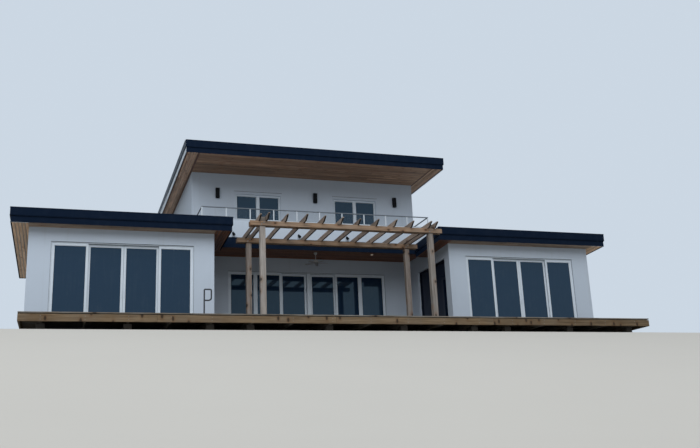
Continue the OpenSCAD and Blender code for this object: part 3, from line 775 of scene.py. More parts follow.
def deck_screws():
    """Pairs of screw heads over each joist, and pairs in the rim at each joist end."""
    low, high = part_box("deck_rim")
    top = [(0.0050, -0.002), (0.0055, 0.0), (0.0030, 0.0008)]
    parts = []
    for x, end in joist_places():
        rows = int((end - FRONT) / DECK_PITCH + 0.1)
        for inset in (0.035, DECK_PITCH - DECK_GAP - 0.035):
            head = turned("head", (x, FRONT + inset, FLOOR - 0.0008), top, 6)
            parts.append(in_row(head, (0, DECK_PITCH, 0), rows))
    gather("deck_screws", parts, "fixing_metal")
    front = [(0.008, 0.0), (0.008, 0.0015), (0.004, 0.0025)]
    parts = []
    for x, end in joist_places():
        for z in (low.z + 0.05, high.z - 0.06):
            parts.append(turned("head", (x, FRONT + 0.003, z), front, 8, (0, -1, 0)))
    gather("rim_screws", parts, "fixing_metal")


# Eaves and ceilings: boards with open V joints
def boarded(parts, first, second, along, count, stops=(), gap=0.006):
    """Boards side by side that fill a rectangle and run along an axis, ends staggered."""
    low, high = corners(first, second)
    across = 1 - along
    pitch = (high[across] - low[across]) / count
    for i in range(count):
        start, end = Vector(low), Vector(high)
        start[across] = low[across] + pitch * i + gap / 2
        end[across] = start[across] + pitch - gap
        stagger = (0.6 if i % 2 else -0.6) + 0.25 * (i % 3)
        ends = [low[along]] + [stop + stagger for stop in stops] + [high[along]]
        for left, right in zip(ends, ends[1:]):
            start[along], end[along] = left + 0.0005, right - 0.0005
            board = block("board", start, end, 0.0)
            eased(board, 0.004, 1, lambda a, b: max(a.z, b.z) < low[2] + 0.001)
            parts.append(mark(board))


def wing_eave_boards():
    """Boards along X over the front and rear walls, and along Y past the ends and the porch."""
    low_z, high_z = wing_levels("wing_eaves")
    for (low, high), (side, name) in zip(solids("wing_eaves"), SIDES):
        inner, outer = reach_of(low, high)
        front_stop = side * (RECESS + WING_SIDE) / 2
        rear_stop = side * (HOUSE_SIDE + WING_SIDE) / 2
        rows = {"front": [], "sides": [], "inner": []}
        for row, begins, ends, near, far, along, count, stops, gap in (
                ("sides", WING_SIDE, outer, low.y, high.y, ALONG_Y, 5, [low.y + 2.6], 0.018),
                ("inner", inner, RECESS, low.y, FASCIA_STOP, ALONG_Y, 5, [], 0.014),
                ("front", RECESS, WING_SIDE, low.y, WING_FACE, ALONG_X, 4, [front_stop], 0.006),
                ("front", HOUSE_SIDE, WING_SIDE, WING_BACK, high.y, ALONG_X, 5, [rear_stop],
                 0.006)):
            boarded(rows[row], (side * begins, near, low_z), (side * ends, far, high_z), along,
                    count, stops, gap)
        # Sides take the copy painted lighter as painted light, inner rows the copy painted darker
        # as painted shade.
        for row, material, replaced in (("front", "wing_front_timber", "wing_eaves"),
                                        ("sides", "wing_sides_light_painted_timber", None),
                                        ("inner", "porch_shade_painted_timber_Y", None)):
            fallen(gather(name + "_eave_boards_" + row, rows[row], material, stands_for=replaced))
        trim = block("trim", (side * WING_SIDE, low.y - 0.004, low_z - 0.006),
                     (side * outer, low.y + 0.028, low_z + 0.002), 0.002)
        fallen(gather(name + "_eave_trim", [trim], "white_aluminium"))


def upper_eave_boards():
    """Boards across the front and back, and boards between cover strips along the sides."""
    low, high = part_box("upper_eaves")
    inner_edge, outer_edge = HOUSE_SIDE + 0.06, high.x - 0.03
    along_x, along_y, strips = [], [], []
    for side, name in SIDES:
        boarded(along_y, (side * inner_edge, low.y, low.z), (side * outer_edge, high.y, high.z),
                ALONG_Y, 5, (low.y + 3.1, low.y + 6.2), 0.014)
        for near, far in ((HOUSE_SIDE + 0.001, inner_edge), (outer_edge, high.x - 0.001)):
            strips.append(block("cover_strip", (side * near, low.y + 0.001, low.z - 0.003),
                                (side * far, high.y - 0.001, high.z), 0.002))
    for near, far, count in ((low.y, PORCH_FACE, 20), (HOUSE_BACK, high.y, 5)):
        boarded(along_x, (-HOUSE_SIDE, near, low.z), (HOUSE_SIDE, far, high.z), ALONG_X, count,
                (-1.1, 1.5))
    # The sides take the copy painted lighter as painted light, the cover strips the dark porch
    # copy as painted shade.
    gather("upper_eave_boards_front", along_x, "upper_front_timber", stands_for="upper_eaves")
    gather("upper_eave_boards_sides", along_y, "upper_sides_light_painted_timber")
    gather("upper_eave_strips", strips, "porch_shade_painted_timber_Y")


def porch_boards():
    """Boards along the porch ceiling, with a cover strip at its front and its rear."""
    low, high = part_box("porch_ceiling")
    parts = []
    boarded(parts, low, high, ALONG_X, 16, (0.0,))
    gather("porch_boards", parts, "porch_shade_painted_timber_X", stands_for="porch_ceiling")
    strips = [mark(block("cove", (low.x, near, low.z - 0.03), (high.x, near + 0.03, low.z), 0.006))
              for near in (low.y + 0.001, high.y - 0.03)]
    gather("porch_cover_strips", strips, "porch_shade_painted_timber_X")


# Fascias: folded sheet with a drip at the foot and a cap at the head
FASCIA_LIP = 0.004


def shrunk(path, lip=FASCIA_LIP):
    """The path taken in by the depth of a lip, so that the lip ends at the full size."""
    left, right = min(p[0] for p in path), max(p[0] for p in path)
    near, far = min(p[1] for p in path), max(p[1] for p in path)
    inward = {left: lip, right: -lip}
    back = {near: lip, far: -lip}
    return [(x + inward.get(x, 0.0), y + back.get(y, 0.0)) for x, y in path]


def top_board(path, inside, low, high):
    """The upper step of a fascia, with a lip at its head and at its foot."""
    return sheet_run("top", shrunk(path), inside, low, high, 0.020,
                     [(high - 0.030, high, FASCIA_LIP), (low, low + 0.014, FASCIA_LIP)])


def lower_board(path, inside, low, high):
    """The lower step of a fascia, with a lip at its foot."""
    return sheet_run("lower", shrunk(path), inside, low, high, 0.018,
                     [(low, low + 0.016, FASCIA_LIP)])


def wing_fascias():
    """Two steps of fascia, from the house wall round each wing and back to the balcony."""
    for i, (side, name) in enumerate(SIDES):
        for make, label in ((top_board, "wing_fascia_top"), (lower_board, "wing_fascia_lower")):
            low, high = solids(label)[i]
            inner, outer = reach_of(low, high)
            path = [(HOUSE_SIDE, high.y), (outer, high.y), (outer, low.y), (inner, low.y),
                    (inner, FASCIA_STOP)]
            middle = (side * (outer + inner) / 2, (low.y + high.y) / 2)
            piece = make([(side * x, y) for x, y in path], middle, *wing_levels(label))
            fallen(gather(name + "_" + label, [piece], "navy_metal", stands_for=label))


def upper_fascias():
    """Fascias across the front and back, with those of the sides let in between by a lap."""
    # The side faces of the top step get the lighter navy, a painted sheen.
    for make, label, lap, rise, side_paint in (
            (top_board, "upper_fascia_top", 0.024, 0.0, "navy_painted_sheen_metal"),
            (lower_board, "upper_fascia_lower", 0.026, 0.01, "white_aluminium")):
        low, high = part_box(label)
        middle = (0.0, (low.y + high.y) / 2)
        ends = [make([(low.x, y), (high.x, y)], middle, low.z, high.z + rise)
                for y in (low.y, high.y)]
        gather(label + "_front", ends, "navy_metal", stands_for=label)
        sides = [make([(x, low.y + lap), (x, high.y - lap)], middle, low.z, high.z + rise)
                 for x in (low.x, high.x)]
        gather(label + "_sides", sides, side_paint)


def balcony_edge():
    """Dark fascia under the balcony with a drip, and the metal cap of the balustrade."""
    low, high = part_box("balcony_fascia")
    board = sheet_run("board", [(low.x, low.y + FASCIA_LIP), (high.x, low.y + FASCIA_LIP)],
                      (0.0, high.y), low.z, high.z, high.y - low.y - FASCIA_LIP,
                      [(low.z, low.z + 0.02, FASCIA_LIP), (high.z - 0.03, high.z, FASCIA_LIP)])
    gather("balcony_fascia_sheet", [board], "navy_metal", stands_for="balcony_fascia")
    low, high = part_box("balcony_parapet")
    thick = 0.12
    foot, top, lip = high.z - 0.018, high.z + 0.004, 0.010
    caps = [block("cap", (low.x - lip, low.y - lip, foot),
                  (high.x + lip, low.y + thick + lip, top))]
    for left, right in ((low.x, low.x + thick), (high.x - thick, high.x)):
        caps.append(block("cap", (left - lip, low.y + thick + lip + 0.001, foot),
                          (right + lip, high.y, top)))
    gather("balustrade_cap", caps, "white_aluminium")


# Roofs: standing seams, an upstand behind the fascia and a flashing at the house wall
ROOF_INSET = 0.05
UPSTAND = 0.04


def seams(parts, begins, ends, near, far, level, count):
    """Upright seams, each with its folded edge, that share out the width of a roof."""
    left, right = sorted((begins, ends))
    step = (right - left) / count
    for i in range(1, count):
        x = left + step * i
        for width, foot, top in ((0.006, -0.004, 0.030), (0.016, 0.024, 0.034)):
            parts.append(block("seam", (x - 0.006, near, level + foot),
                               (x + width, far, level + top), 0.002))


def upstands(parts, level, edges):
    """Low walls of folded sheet, each over its (left, right, near, far)."""
    for left, right, near, far in edges:
        parts.append(block("upstand", (left, near, level), (right, far, level + 0.06), 0.006))


def wing_roof_metal():
    """Seams over each wing, upstands along its three free edges, a flashing at the wall."""
    level = wing_levels("wing_roofs")[1]
    for (low, high), (side, name) in zip(solids("wing_roofs"), SIDES):
        inner, outer = reach_of(low, high)
        near, wall = low.y + ROOF_INSET, side * HOUSE_SIDE
        parts = []
        seams(parts, side * (HOUSE_SIDE + 0.08), side * (outer - ROOF_INSET), near,
              high.y - ROOF_INSET, level, 11)
        seams(parts, side * (inner + ROOF_INSET), wall, near, FASCIA_STOP - ROOF_INSET, level, 2)
        behind = low.y + UPSTAND + 0.001
        upstands(parts, level, [
            (side * inner, side * outer, low.y, low.y + UPSTAND),
            (side * (outer - UPSTAND), side * outer, behind, high.y),
            (side * inner, side * (inner + UPSTAND), behind, FASCIA_STOP)])
        parts.append(block("flashing", (wall, FASCIA_STOP, level - 0.01),
                           (side * (HOUSE_SIDE + 0.012), high.y, level + 0.14)))
        fallen(gather(name + "_roof_seams", parts, "roof_metal"))


def upper_roof_metal():
    """Seams over the upper roof, upstands along its front and its sides."""
    low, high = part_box("upper_roof")
    behind = low.y + UPSTAND + 0.001
    parts = []
    seams(parts, low.x + ROOF_INSET, high.x - ROOF_INSET, low.y + ROOF_INSET, high.y - ROOF_INSET,
          high.z, 18)
    upstands(parts, high.z, [(low.x, high.x, low.y, low.y + UPSTAND),
                             (low.x, low.x + UPSTAND, behind, high.y),
                             (high.x - UPSTAND, high.x, behind, high.y)])
    fallen(gather("upper_roof_seams", parts, "roof_metal"), fall_of("upper_roof"), low.y)


# Walls: plaster bands round the upper windows, dark strips that are painted shade and sills at the
# doors
def window_bands():
    """Bands at the head and the sides of each upper window, a drip over them painted dark as
    painted shade, and a sill.
    """
    near, back = PORCH_FACE - 0.012, PORCH_FACE + 0.002
    wide, head = 0.045, 0.09
    drip = wide + 0.010
    parts, shade_drips = [], []
    for low, high in solids("window_frames"):
        left, right = low.x - wide, high.x + wide
        parts += [
            block("band", (left, near, high.z), (right, back, high.z + head)),
            block("band", (left, near, low.z), (low.x, back, high.z - 0.001)),
            block("band", (high.x, near, low.z), (right, back, high.z - 0.001)),
            block("sill", (left, near - 0.02, low.z - 0.05), (right, PORCH_FACE + 0.04, low.z),
                  0.005),
        ]
        # The drip is painted dark slate: painted shade for the line of shadow over the band.
        shade_drips.append(block("drip", (low.x - drip, near - 0.003, high.z + head),
                           (high.x + drip, back, high.z + head + 0.012)))
    gather("window_bands", parts, "white_render")
    gather("window_head_shade_drips", shade_drips, "slate_metal")


def door_joints():
    """Dark strips between the frames and the walls, painted shade for the gap at the head and the
    jambs, and a metal sill on the deck side.
    """
    shade_strips, sills = [], []
    for low, high in solids("door_frames"):
        near, far = low.y - 0.006, low.y + 0.02
        # Strips at the head and the jambs, painted dark as painted shade.
        for left, right, foot, top in (
                (low.x, high.x, high.z - 0.012, high.z + 0.002),
                (low.x - 0.002, low.x + 0.006, low.z + 0.01, high.z - 0.013),
                (high.x - 0.006, high.x + 0.002, low.z + 0.01, high.z - 0.013)):
            shade_strips.append(block("seal", (left, near, foot), (right, far, top), 0.002))
        sills.append(block("sill", (low.x + 0.008, low.y - 0.036, low.z + 0.001),
                           (high.x - 0.008, low.y + 0.004, low.z + 0.012)))
    gather("door_shade_strips", shade_strips, "slate_metal")
    gather("door_sills", sills, "white_aluminium")


# Doors and windows: frames with eased edges, beads, gaskets, pulls and rollers
BEAD = 0.012


def glazed(name, node, material, body="house"):
    """Beads and gaskets round every pane of a node, on both faces."""
    beads, gaskets = [], []
    for low, high in solids(node):
        axis = min((0, 1), key=lambda across: high[across] - low[across])
        for face, way in ((low[axis], -1), (high[axis], 1)):
            start, end = low.copy(), high.copy()
            start[axis], end[axis] = face, face + way * BEAD
            beads.append(opened("bead", start, end, BEAD, axis, 0.002))
            end[axis] = face + way * BEAD * 0.3
            gaskets.append(opened("gasket", start, end, BEAD + 0.003, axis))
    gather(name + "_beads", beads, material, body)
    gather(name + "_gaskets", gaskets, "gasket_rubber", body)


def pull(x, face, way, height=1.45):
    """A slim pull handle on two feet; way is -1 towards the deck and 1 towards the room."""
    grip, back = face + way * 0.010, face + way * 0.015
    parts = [
        block("plate", (x - 0.013, face, height - 0.11),
              (x + 0.013, face + way * 0.003, height + 0.11), 0.001),
        block("grip", (x - 0.008, grip, height - 0.09), (x + 0.008, back, height + 0.09), 0.002),
    ]
    for z in (height - 0.075, height + 0.075):
        parts.append(rod("foot", (x, face + way * 0.001, z), (x, face + way * 0.011, z), 0.005, 8))
    return parts


def doors():
    """The frames with their fixed leaves, and the sliding leaves with pulls and rollers."""
    planed("door_frames", "white_aluminium")
    glazed("fixed_panes", "fixed_glass", "white_aluminium")
    stile, wheel = 0.028, 0.16
    for leaf in [n for n in nodes if "_leaf_" in n and not n.endswith("glass")]:
        low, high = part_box(leaf)
        planed(leaf, "white_aluminium", leaf)
        glazed(leaf, leaf + "_glass", "white_aluminium", leaf)
        joint = next(j for j in frame["joints"] if j["child"] == leaf)
        opens_left = joint["range_m"][0] < -0.1
        x = high.x - stile if opens_left else low.x + stile
        parts = pull(x, low.y, -1) + pull(x, high.y, 1)
        for place in (low.x + wheel, high.x - wheel):
            parts.append(block("roller", (place - 0.03, low.y + 0.012, low.z - 0.006),
                               (place + 0.03, high.y - 0.012, low.z + 0.001), 0.002))
        gather(leaf + "_pulls", parts, "white_aluminium", leaf)


def tracks():
    """Two rails in the foot and the head of each frame for the sliding leaves."""
    leaf_low, leaf_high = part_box("left_leaf_outer")
    offset = (leaf_low.y + leaf_high.y) / 2 - solids("door_frames")[0][0].y
    face = 0.030
    parts = []
    for low, high in solids("door_frames"):
        for foot, top in ((low.z + face - 0.002, low.z + face + 0.0015),
                          (high.z - face - 0.0015, high.z - face + 0.002)):
            for shift in (-0.027, 0.027):
                y = low.y + offset + shift
                parts.append(block("rail", (low.x + face, y - 0.002, foot),
                                   (high.x - face, y + 0.002, top), 0.0005))
    gather("door_tracks", parts, "fixing_metal")


def windows():
    """The frames of the upper windows and their beaded panes."""
    planed("window_frames", "white_aluminium")
    glazed("window_panes", "window_glass", "white_aluminium")


def side_doors():
    """Dark double doors with back plates, levers on round necks, and hinges."""
    planed("side_doors", "dark_aluminium")
    glazed("side_door_panes", "side_door_glass", "dark_aluminium")
    parts = []
    for low, high in solids("side_doors"):
        middle = (low.y + high.y) / 2
        face, out = (low.x, -1) if low.x > 0 else (high.x, 1)
        neck = face + out * 0.045
        for y, way in ((middle - 0.012, -1), (middle + 0.012, 1)):
            parts += [
                block("plate", (face, y - 0.009, 1.38), (face + out * 0.006, y + 0.009, 1.58),
                      0.001),
                rod("neck", (face, y, 1.49), (neck, y, 1.49), 0.007, 12),
                block("lever", (face + out * 0.038, y - way * 0.008, 1.481),
                      (face + out * 0.052, y + way * 0.11, 1.499), 0.004),
            ]
        pin = face + out * 0.008
        for y in (low.y + 0.004, high.y - 0.004):
            for z in (0.75, 1.60, 2.50):
                parts.append(rod("hinge", (pin, y, z), (pin, y, z + 0.10), 0.007, 12))
    gather("side_door_fittings", parts, "rail_metal")


# Balcony: rails with glazing strips, posts with base plates, and pavers
def balcony_rail():
    """Rails and strips over and under the panes, posts at their joints, bolted base plates."""
    low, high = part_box("balcony_rail")
    panes = solids("balcony_glass")
    front = [pane for pane in panes if pane[1].x - pane[0].x > 0.1]
    returns = [(pane[0].x + pane[1].x) / 2 for pane in panes if pane[1].x - pane[0].x < 0.1]
    half, strip, thin = 0.0175, 0.010, 0.0015
    centre = (front[0][0].y + front[0][1].y) / 2
    foot, head = front[0][0].z, front[0][1].z
    back = high.y
    rails, strips, posts, fittings = [], [], [], []
    for bottom, top, edge in ((head, high.z, head), (low.z + 0.004, foot, foot)):
        rails.append(block("rail", (low.x, centre - half, bottom), (high.x, centre + half, top),
                           0.004, 2))
        strips.append(block("strip", (low.x + 0.002, centre - strip, edge - thin),
                            (high.x - 0.002, centre + strip, edge + thin), 0.0005))
        for x in returns:
            rails.append(block("rail", (x - half, centre + half + 0.0005, bottom),
                               (x + half, back, top), 0.004, 2))
            strips.append(block("strip", (x - strip, centre + half, edge - thin),
                                (x + strip, back - 0.002, edge + thin), 0.0005))
    places = [(pane[0].x - half - 0.0005, centre) for pane in front[1:]]
    places += [(x, y) for x in returns for y in (centre, back - half)]
    for x, y in places:
        posts.append(block("post", (x - half + 0.001, y - half + 0.001, foot),
                           (x + half - 0.001, y + half - 0.001, head), 0.002))
        fittings.append(block("base", (x - 0.030, y - 0.030, BALCONY_TOP + 0.004),
                              (x + 0.030, y + min(0.030, back - y), BALCONY_TOP + 0.010), 0.002))
        for across in (-0.024, 0.024):
            fittings.append(turned("bolt", (x + across, y - 0.024, BALCONY_TOP + 0.010),
                                   [(0.004, 0.0), (0.004, 0.003), (0.002, 0.004)], 6))
    gather("balcony_hand_rails", rails, "hand_rail_metal", stands_for="balcony_rail")
    gather("balcony_posts", posts, "rail_post_metal")
    gather("balcony_glazing_strips", strips, "gasket_rubber")
    gather("rail_fittings", fittings, "rail_post_metal")


def balcony_pavers():
    """Square pavers with open joints, cut at the right and at the rear."""
    thick, gap, size = 0.02, 0.005, 0.60
    left, right = -HOUSE_SIDE + 0.13, HOUSE_SIDE - 0.13
    near, far = BALCONY_FACE + 0.13, PORCH_FACE - 0.01
    parts = []
    for i in range(math.ceil((right - left) / size)):
        for j in range(math.ceil((far - near) / size)):
            x, y = left + i * size, near + j * size
            end = (min(x + size, right) - gap, min(y + size, far) - gap, UPPER_FLOOR + thick)
            parts.append(mark(block("paver", (x, y, UPPER_FLOOR), end)))
    gather("balcony_pavers", parts, "floor_tile")


# Lamps and the ceiling fan
DOWN = (0, 0, -1)


def sconce(low, high):
    """A square tube lamp that shines up and down, on a back plate."""
    body = block("case", (low.x, low.y, low.z + 0.004), (high.x, high.y - 0.012, high.z - 0.004))
    sunk(body, lambda centre, normal: abs(normal.z) > 0.9, 0.012, 0.03)
    plate = block("plate", (low.x + 0.02, high.y - 0.013, low.z + 0.03),
                  (high.x - 0.02, high.y, high.z - 0.03))
    lenses = [block("lens", (low.x + 0.016, low.y + 0.014, z),
                    (high.x - 0.016, high.y - 0.03, z + 0.006), 0.002)
              for z in (low.z + 0.030, high.z - 0.036)]
    return [body, plate], lenses


def spotlight(low, high):
    """A round head under a hooked arm, aimed down at the deck."""
    x, mid, top = (low.x + high.x) / 2, high.y - 0.068, high.z
    lean = Vector((0.62, -0.10, -0.78)).normalized()
    head = Vector((x, mid, top - 0.062)) - lean * 0.024
    parts = [
        block("plate", (x - 0.025, high.y - 0.014, top - 0.077), (x + 0.025, high.y, top - 0.007),
              0.004),
        block("arm", (x - 0.008, mid, top - 0.016), (x + 0.008, high.y - 0.012, top)),
        block("drop", (x - 0.008, mid, top - 0.050), (x + 0.008, mid + 0.016, top - 0.001)),
        turned("head", head, [(0.018, 0.0), (0.034, 0.006), (0.040, 0.020), (0.041, 0.092),
                              (0.036, 0.0925), (0.034, 0.080)], 24, lean),
        turned("ring", head + lean * 0.045, [(0.0405, 0.0), (0.0418, 0.002), (0.0418, 0.008),
                                             (0.0405, 0.010)], 24, lean),
    ]
    lens = turned("lens", head + lean * 0.0795, [(0.033, 0.0), (0.033, 0.002), (0.010, 0.003)],
                  24, lean)
    return parts, [lens]


def wall_lights():
    """Tube lamps on the upper wall, spotlights over the edge of the balcony."""
    parts, lenses = [], []
    for low, high in solids("wall_lights"):
        make = sconce if high.y > BALCONY_FACE + 0.5 else spotlight
        made, glasses = make(low, high)
        parts += made
        lenses += glasses
    gather("wall_lamps", parts, "black_metal", stands_for="wall_lights")
    gather("wall_lamp_lenses", lenses, "light_lens")


def ceiling_lights():
    """A downlight in the porch ceiling: a ring and a lit lens."""
    low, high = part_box("ceiling_lights")
    x, y = ((low + high) / 2).xy
    top = high.z
    ring = turned("ring", (x, y, top), [
        (0.055, 0.0), (0.055, 0.003), (0.050, 0.008), (0.042, 0.006)], 32, DOWN)
    gather("downlight_ring", [ring], "white_aluminium", stands_for="ceiling_lights")
    lens = turned("lens", (x, y, top - 0.0055), [
        (0.041, 0.0), (0.041, 0.001), (0.02, 0.002)], 32, DOWN)
    gather("downlight_lens", [lens], "lit_lens")


def ceiling_fan():
    """Canopy, stem and motor, which stay, and a hub with pitched blades, which turns."""
    low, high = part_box("fan_mount")
    x, y, top = (low.x + high.x) / 2, (low.y + high.y) / 2, high.z
    canopy = turned("canopy", (x, y, top), [
        (0.055, 0.0), (0.055, 0.010), (0.050, 0.040), (0.040, 0.058), (0.020, 0.070),
        (0.014, 0.078)], 32, DOWN)
    stem = rod("stem", (x, y, top - 0.075), (x, y, top - 0.245), 0.012, 16)
    motor = turned("motor", (x, y, top - 0.236), [
        (0.016, 0.0), (0.024, 0.006), (0.050, 0.018), (0.074, 0.034), (0.080, 0.048),
        (0.080, 0.070), (0.070, 0.084)], 32, DOWN)
    gather("fan_canopy_and_motor", [canopy, stem, motor], "fan_metal", stands_for="fan_mount")
    low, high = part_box("fan_rotor")
    x, y = ((low + high) / 2).xy
    level, reach, blades = high.z - 0.025, 0.40, 5
    parts = [turned("hub", (x, y, high.z), [
        (0.070, 0.0), (0.075, 0.006), (0.075, 0.030), (0.060, 0.044), (0.030, 0.050)], 32, DOWN)]
    for i in range(blades):
        blade = block("blade", (0.13, -0.045, -0.003), (reach - 0.004, 0.045, 0.003), 0.0)
        eased(blade, 0.035, 4, lambda a, b: abs(a.z - b.z) > 0.004 and a.x > 0.2)
        iron = block("iron", (0.055, -0.016, -0.008), (0.17, 0.016, -0.003), 0.002)
        pitch = Matrix.Rotation(math.radians(10), 4, "X")
        spread = Matrix.Rotation(math.tau * i / blades, 4, "Z")
        for piece in (blade, iron):
            piece.data.transform(Matrix.Translation((x, y, level)) @ spread @ pitch)
        parts += [blade, iron]
    gather("fan_blades", parts, "fan_blade_metal", "fan", "fan_rotor")


# Pergola: worked posts, planks and rafters with bolts
POST_TONES = {("front", False): 0.7, ("front", True): 0.1, ("rear", False): 0.35,
              ("rear", True): 0.25}
# Tones of the four planks from front to rear: the far plank of each pair and the rear beam are
# darker as painted shade.
PLANK_SHADE_TONES = (0.75, -0.3, 0.0, -0.6)


def pergola_timbers():
    """The posts, planks and rafters, each solid with its own tone, with painted shade on the far
    plank of each pair and on the rear beam.
    """
    middle = (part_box("pergola_posts")[0].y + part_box("pergola_posts")[1].y) / 2
    rows = {"front": [], "rear": []}
    for post in sorted(worked_copy("pergola_posts", 0.005), key=lambda p: p.data.vertices[0].co.x):
        place = post.data.vertices[0].co
        row = "front" if place.y < middle else "rear"
        rows[row].append(mark(post, POST_TONES[row, place.x > 0]))
    gather("pergola_posts_front", rows["front"], "front_post_timber", stands_for="pergola_posts")
    gather("pergola_posts_rear", rows["rear"], "rear_post_timber")
    faces = sorted(low.y for low, high in solids("pergola_beams"))
    planed("pergola_beams", "beam_timber", ease=0.004,
           tone=lambda place: PLANK_SHADE_TONES[sum(place.y > face - 0.01 for face in faces) - 1])
    planed("pergola_rafters", "rafter_timber")


def pergola_bolts():
    """Two bolts through each post and its planks: round heads in front, nuts behind."""
    washer = [(0.019, 0.0), (0.019, 0.002), (0.017, 0.003)]
    head = [(0.012, 0.0), (0.012, 0.004), (0.008, 0.010)]
    bolts = []
    planks = solids("pergola_beams")
    for post_low, post_high in solids("pergola_posts"):
        x = (post_low.x + post_high.x) / 2
        middle = (post_low.y + post_high.y) / 2
        near = min((low for low, high in planks if abs(low.y - middle) < 0.2), key=lambda p: p.y)
        far = max((high for low, high in planks if abs(high.y - middle) < 0.2), key=lambda p: p.y)
        for across, up in ((-0.035, 0.045), (0.035, 0.095)):
            for y, way, sides in ((near.y, -1, 12), (far.y, 1, 6)):
                aim = (0, way, 0)
                place = Vector((x + across, y, near.z + up))
                bolts.append(turned("washer", place, washer, 16, aim))
                bolts.append(turned("bolt", place + Vector(aim) * 0.003, head, sides, aim))
    gather("pergola_bolts", bolts, "fixing_metal")


# Hand rail on the deck
def hand_rail():
    """A hooked rail bent from one tube, welded to its post, on a flange with four screws."""
    low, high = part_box("deck_handrail")
    radius, width, drop = 0.019, 0.181, 0.285
    small, large = 0.032, 0.075
    x, y = low.x + 0.045, (low.y + high.y) / 2
    foot, top = low.z + 0.002, high.z - radius
    sideways, quarter = (0, 1, 0), math.pi / 2
    loop = bent("loop", (x, y, foot), radius, [
        ((0, 0, top - small - foot),),
        ((x + small, y, top - small), sideways, quarter),
        ((width - 2 * small, 0, 0),),
        ((x + width - small, y, top - small), sideways, quarter),
        ((0, 0, -(drop - small - large)),),
        ((x + width - large, y, top - drop + large), sideways, quarter),
        ((-(width - large - 0.012), 0, 0),),
    ], 20)
    flange = turned("flange", (x, y, low.z), [
        (0.045, 0.0), (0.045, 0.006), (0.040, 0.010), (0.026, 0.010), (0.022, 0.022)], 32)
    weld = turned("weld", (x + 0.016, y, top - drop), [(0.0215, 0.0), (0.0205, 0.006)], 20,
                  (1, 0, 0))
    parts = [loop, flange, weld]
    for step in range(4):
        angle = quarter * (step + 0.5)
        place = (x + 0.034 * math.cos(angle), y + 0.034 * math.sin(angle), low.z + 0.009)
        parts.append(turned("screw", place, [(0.005, 0.0), (0.005, 0.002), (0.003, 0.003)], 8))
    gather("deck_grab_rail", parts, "deck_rail_metal", stands_for="deck_handrail")


deck_boards()
deck_rim()
planed("deck_joists", "deck_timber_Y")
planed("deck_piers", "concrete_in_painted_shade", ease=0.012)
deck_screws()
wing_eave_boards()
upper_eave_boards()
porch_boards()
wing_fascias()
upper_fascias()
balcony_edge()
wing_roof_metal()
upper_roof_metal()
window_bands()
door_joints()
doors()
tracks()
windows()
side_doors()
balcony_rail()
balcony_pavers()
wall_lights()
ceiling_lights()
ceiling_fan()
pergola_timbers()
pergola_bolts()
hand_rail()

# Finishes of the CAD nodes that stay
keeps = {
    "white_render": ["door_plinths", "front_walls", "door_heads", "outer_walls", "rear_walls",
                     "inner_walls", "side_door_heads", "rear_side_walls", "balcony_parapet",
                     "upper_front_wall", "upper_side_walls", "upper_rear_wall", "upper_floor"],
    "concrete": ["floor_slab"],
    "roof_metal": ["wing_roofs", "upper_roof"],
    "clear_glass": [n for n in nodes if n.endswith("glass")],
    "shaded_glass": ["side_door_glass"],
    "rail_glass": ["balcony_glass"],
}
for material, names in keeps.items():
    for name in names:
        finish_with(nodes[name], material)


# Stage, light and camera
def floor():
    """Level ground under the house that falls away in front of the deck."""
    begin()
    bpy.ops.mesh.primitive_plane_add(size=1, location=(0, 0, -0.001))
    ground = bpy.context.active_object
    ground.scale = (240, 1, 1)
    ground = taken("ground")
    crest = FRONT - 0.05
    reach = [(crest, -0.001), (crest - 0.5, -0.06), (crest - 1.5, -0.26),
             (crest - 22, -5.1), (crest - 110, -26.0)]
    edit(ground, "EDGE", lambda a, b: a.y > 0.4 and b.y > 0.4)
    bpy.ops.transform.translate(value=(0, 120, 0))
    done()
    edit(ground, "EDGE", lambda a, b: a.y < 0 and b.y < 0)
    bpy.ops.transform.translate(value=(0, crest + 0.5, 0))
    for (y, z), (next_y, next_z) in zip(reach, reach[1:]):
        bpy.ops.mesh.extrude_region_move(
            TRANSFORM_OT_translate={"value": (0, next_y - y, next_z - z)})
    faced_out()
    if ground.data.polygons[0].normal.z < 0:
        turned_over(ground)
    look = Finish("pale_floor")
    soft = look.noise(look.coordinates(), 0.5, 3.0)
    seen = look.node("LightPath").outputs["Is Camera Ray"]
    base = look.lit((0.45, 0.44, 0.415), 0.97 + soft * 0.06)
    base = look.mix(seen, base, look.lit(base, 0.6))
    glow = look.mix(seen, (0.0, 0.0, 0.0), (0.240, 0.234, 0.220))
    look.close(base, 0.9, look.relief(soft, 0.02, 0.2), Emission_Color=glow, Emission_Strength=1.0)
    finish_with(ground, "pale_floor")


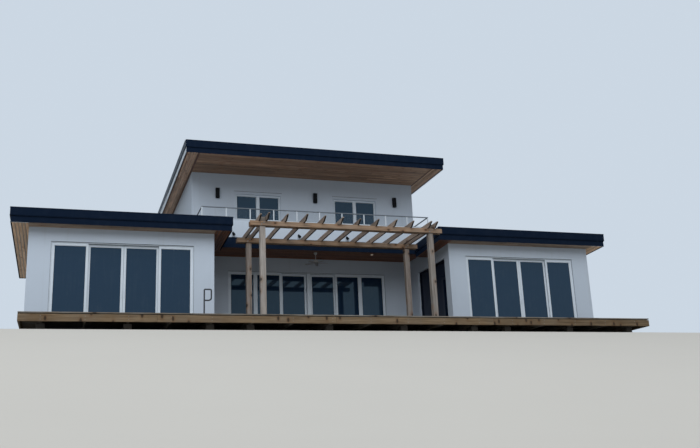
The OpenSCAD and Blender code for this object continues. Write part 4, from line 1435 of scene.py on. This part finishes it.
def daylight():
    """An even sky for light, and a plain pale one behind the house and in reflections."""
    world = bpy.data.worlds.new("soft_daylight")
    bpy.context.scene.world = world
    look = Finish("soft_daylight", world)
    paths = look.node("LightPath").outputs
    seen = paths["Is Camera Ray"]
    for name in ("Is Glossy Ray", "Is Transmission Ray"):
        seen = look.calc("MAXIMUM", seen, paths[name])
    light = look.node("Background", {}, {"Color": (0.90, 0.96, 1.0, 1.0), "Strength": 0.46})
    sky = look.node("Background", {}, {"Color": (0.60, 0.68, 0.77, 1.0), "Strength": 1.0})
    blend = look.node("MixShader", {}, {0: seen, 1: light.outputs[0], 2: sky.outputs[0]})
    look.node("OutputWorld", {}, {"Surface": blend.outputs[0]})


def softbox(name, place, size, power):
    """A large cool lamp, aimed at the house and kept out of reflections."""
    lamp = bpy.data.lights.new(name, "AREA")
    lamp.shape = "RECTANGLE"
    lamp.size, lamp.size_y = size
    lamp.energy = power
    lamp.color = (0.93, 0.97, 1.0)
    holder = bpy.data.objects.new(name, lamp)
    bpy.context.scene.collection.objects.link(holder)
    holder.visible_glossy = False
    holder.location = place
    aim = Vector((0, 0, 2)) - Vector(place)
    holder.rotation_euler = aim.to_track_quat("-Z", "Y").to_euler()


def camera():
    """The photograph's place: below the deck, to the left, looking up and to the right."""
    place = Matrix.Translation((-7.642, -27.938, -3.25))
    yaw, pitch, roll = 0.327, 0.27, -0.044
    focal_pixels, photo_width, sensor = 854.6, 700.0, 36.0
    lens = bpy.data.cameras.new("photo_camera")
    lens.sensor_fit = "HORIZONTAL"
    lens.sensor_width = sensor
    lens.lens = sensor * focal_pixels / photo_width
    lens.clip_end = 500.0
    holder = bpy.data.objects.new("photo_camera", lens)
    bpy.context.scene.collection.objects.link(holder)
    heading = Matrix.Rotation(-yaw, 4, "Z")
    rise = Matrix.Rotation(math.pi / 2 + pitch, 4, "X")
    holder.matrix_world = place @ heading @ rise @ Matrix.Rotation(roll, 4, "Z")
    bpy.context.scene.camera = holder


floor()
daylight()
softbox("front_light", (-8, -23, 21), (30, 24), 6800)
softbox("rear_light", (12, 34, 30), (45, 36), 8000)
camera()
bpy.context.scene.view_settings.view_transform = "Standard"
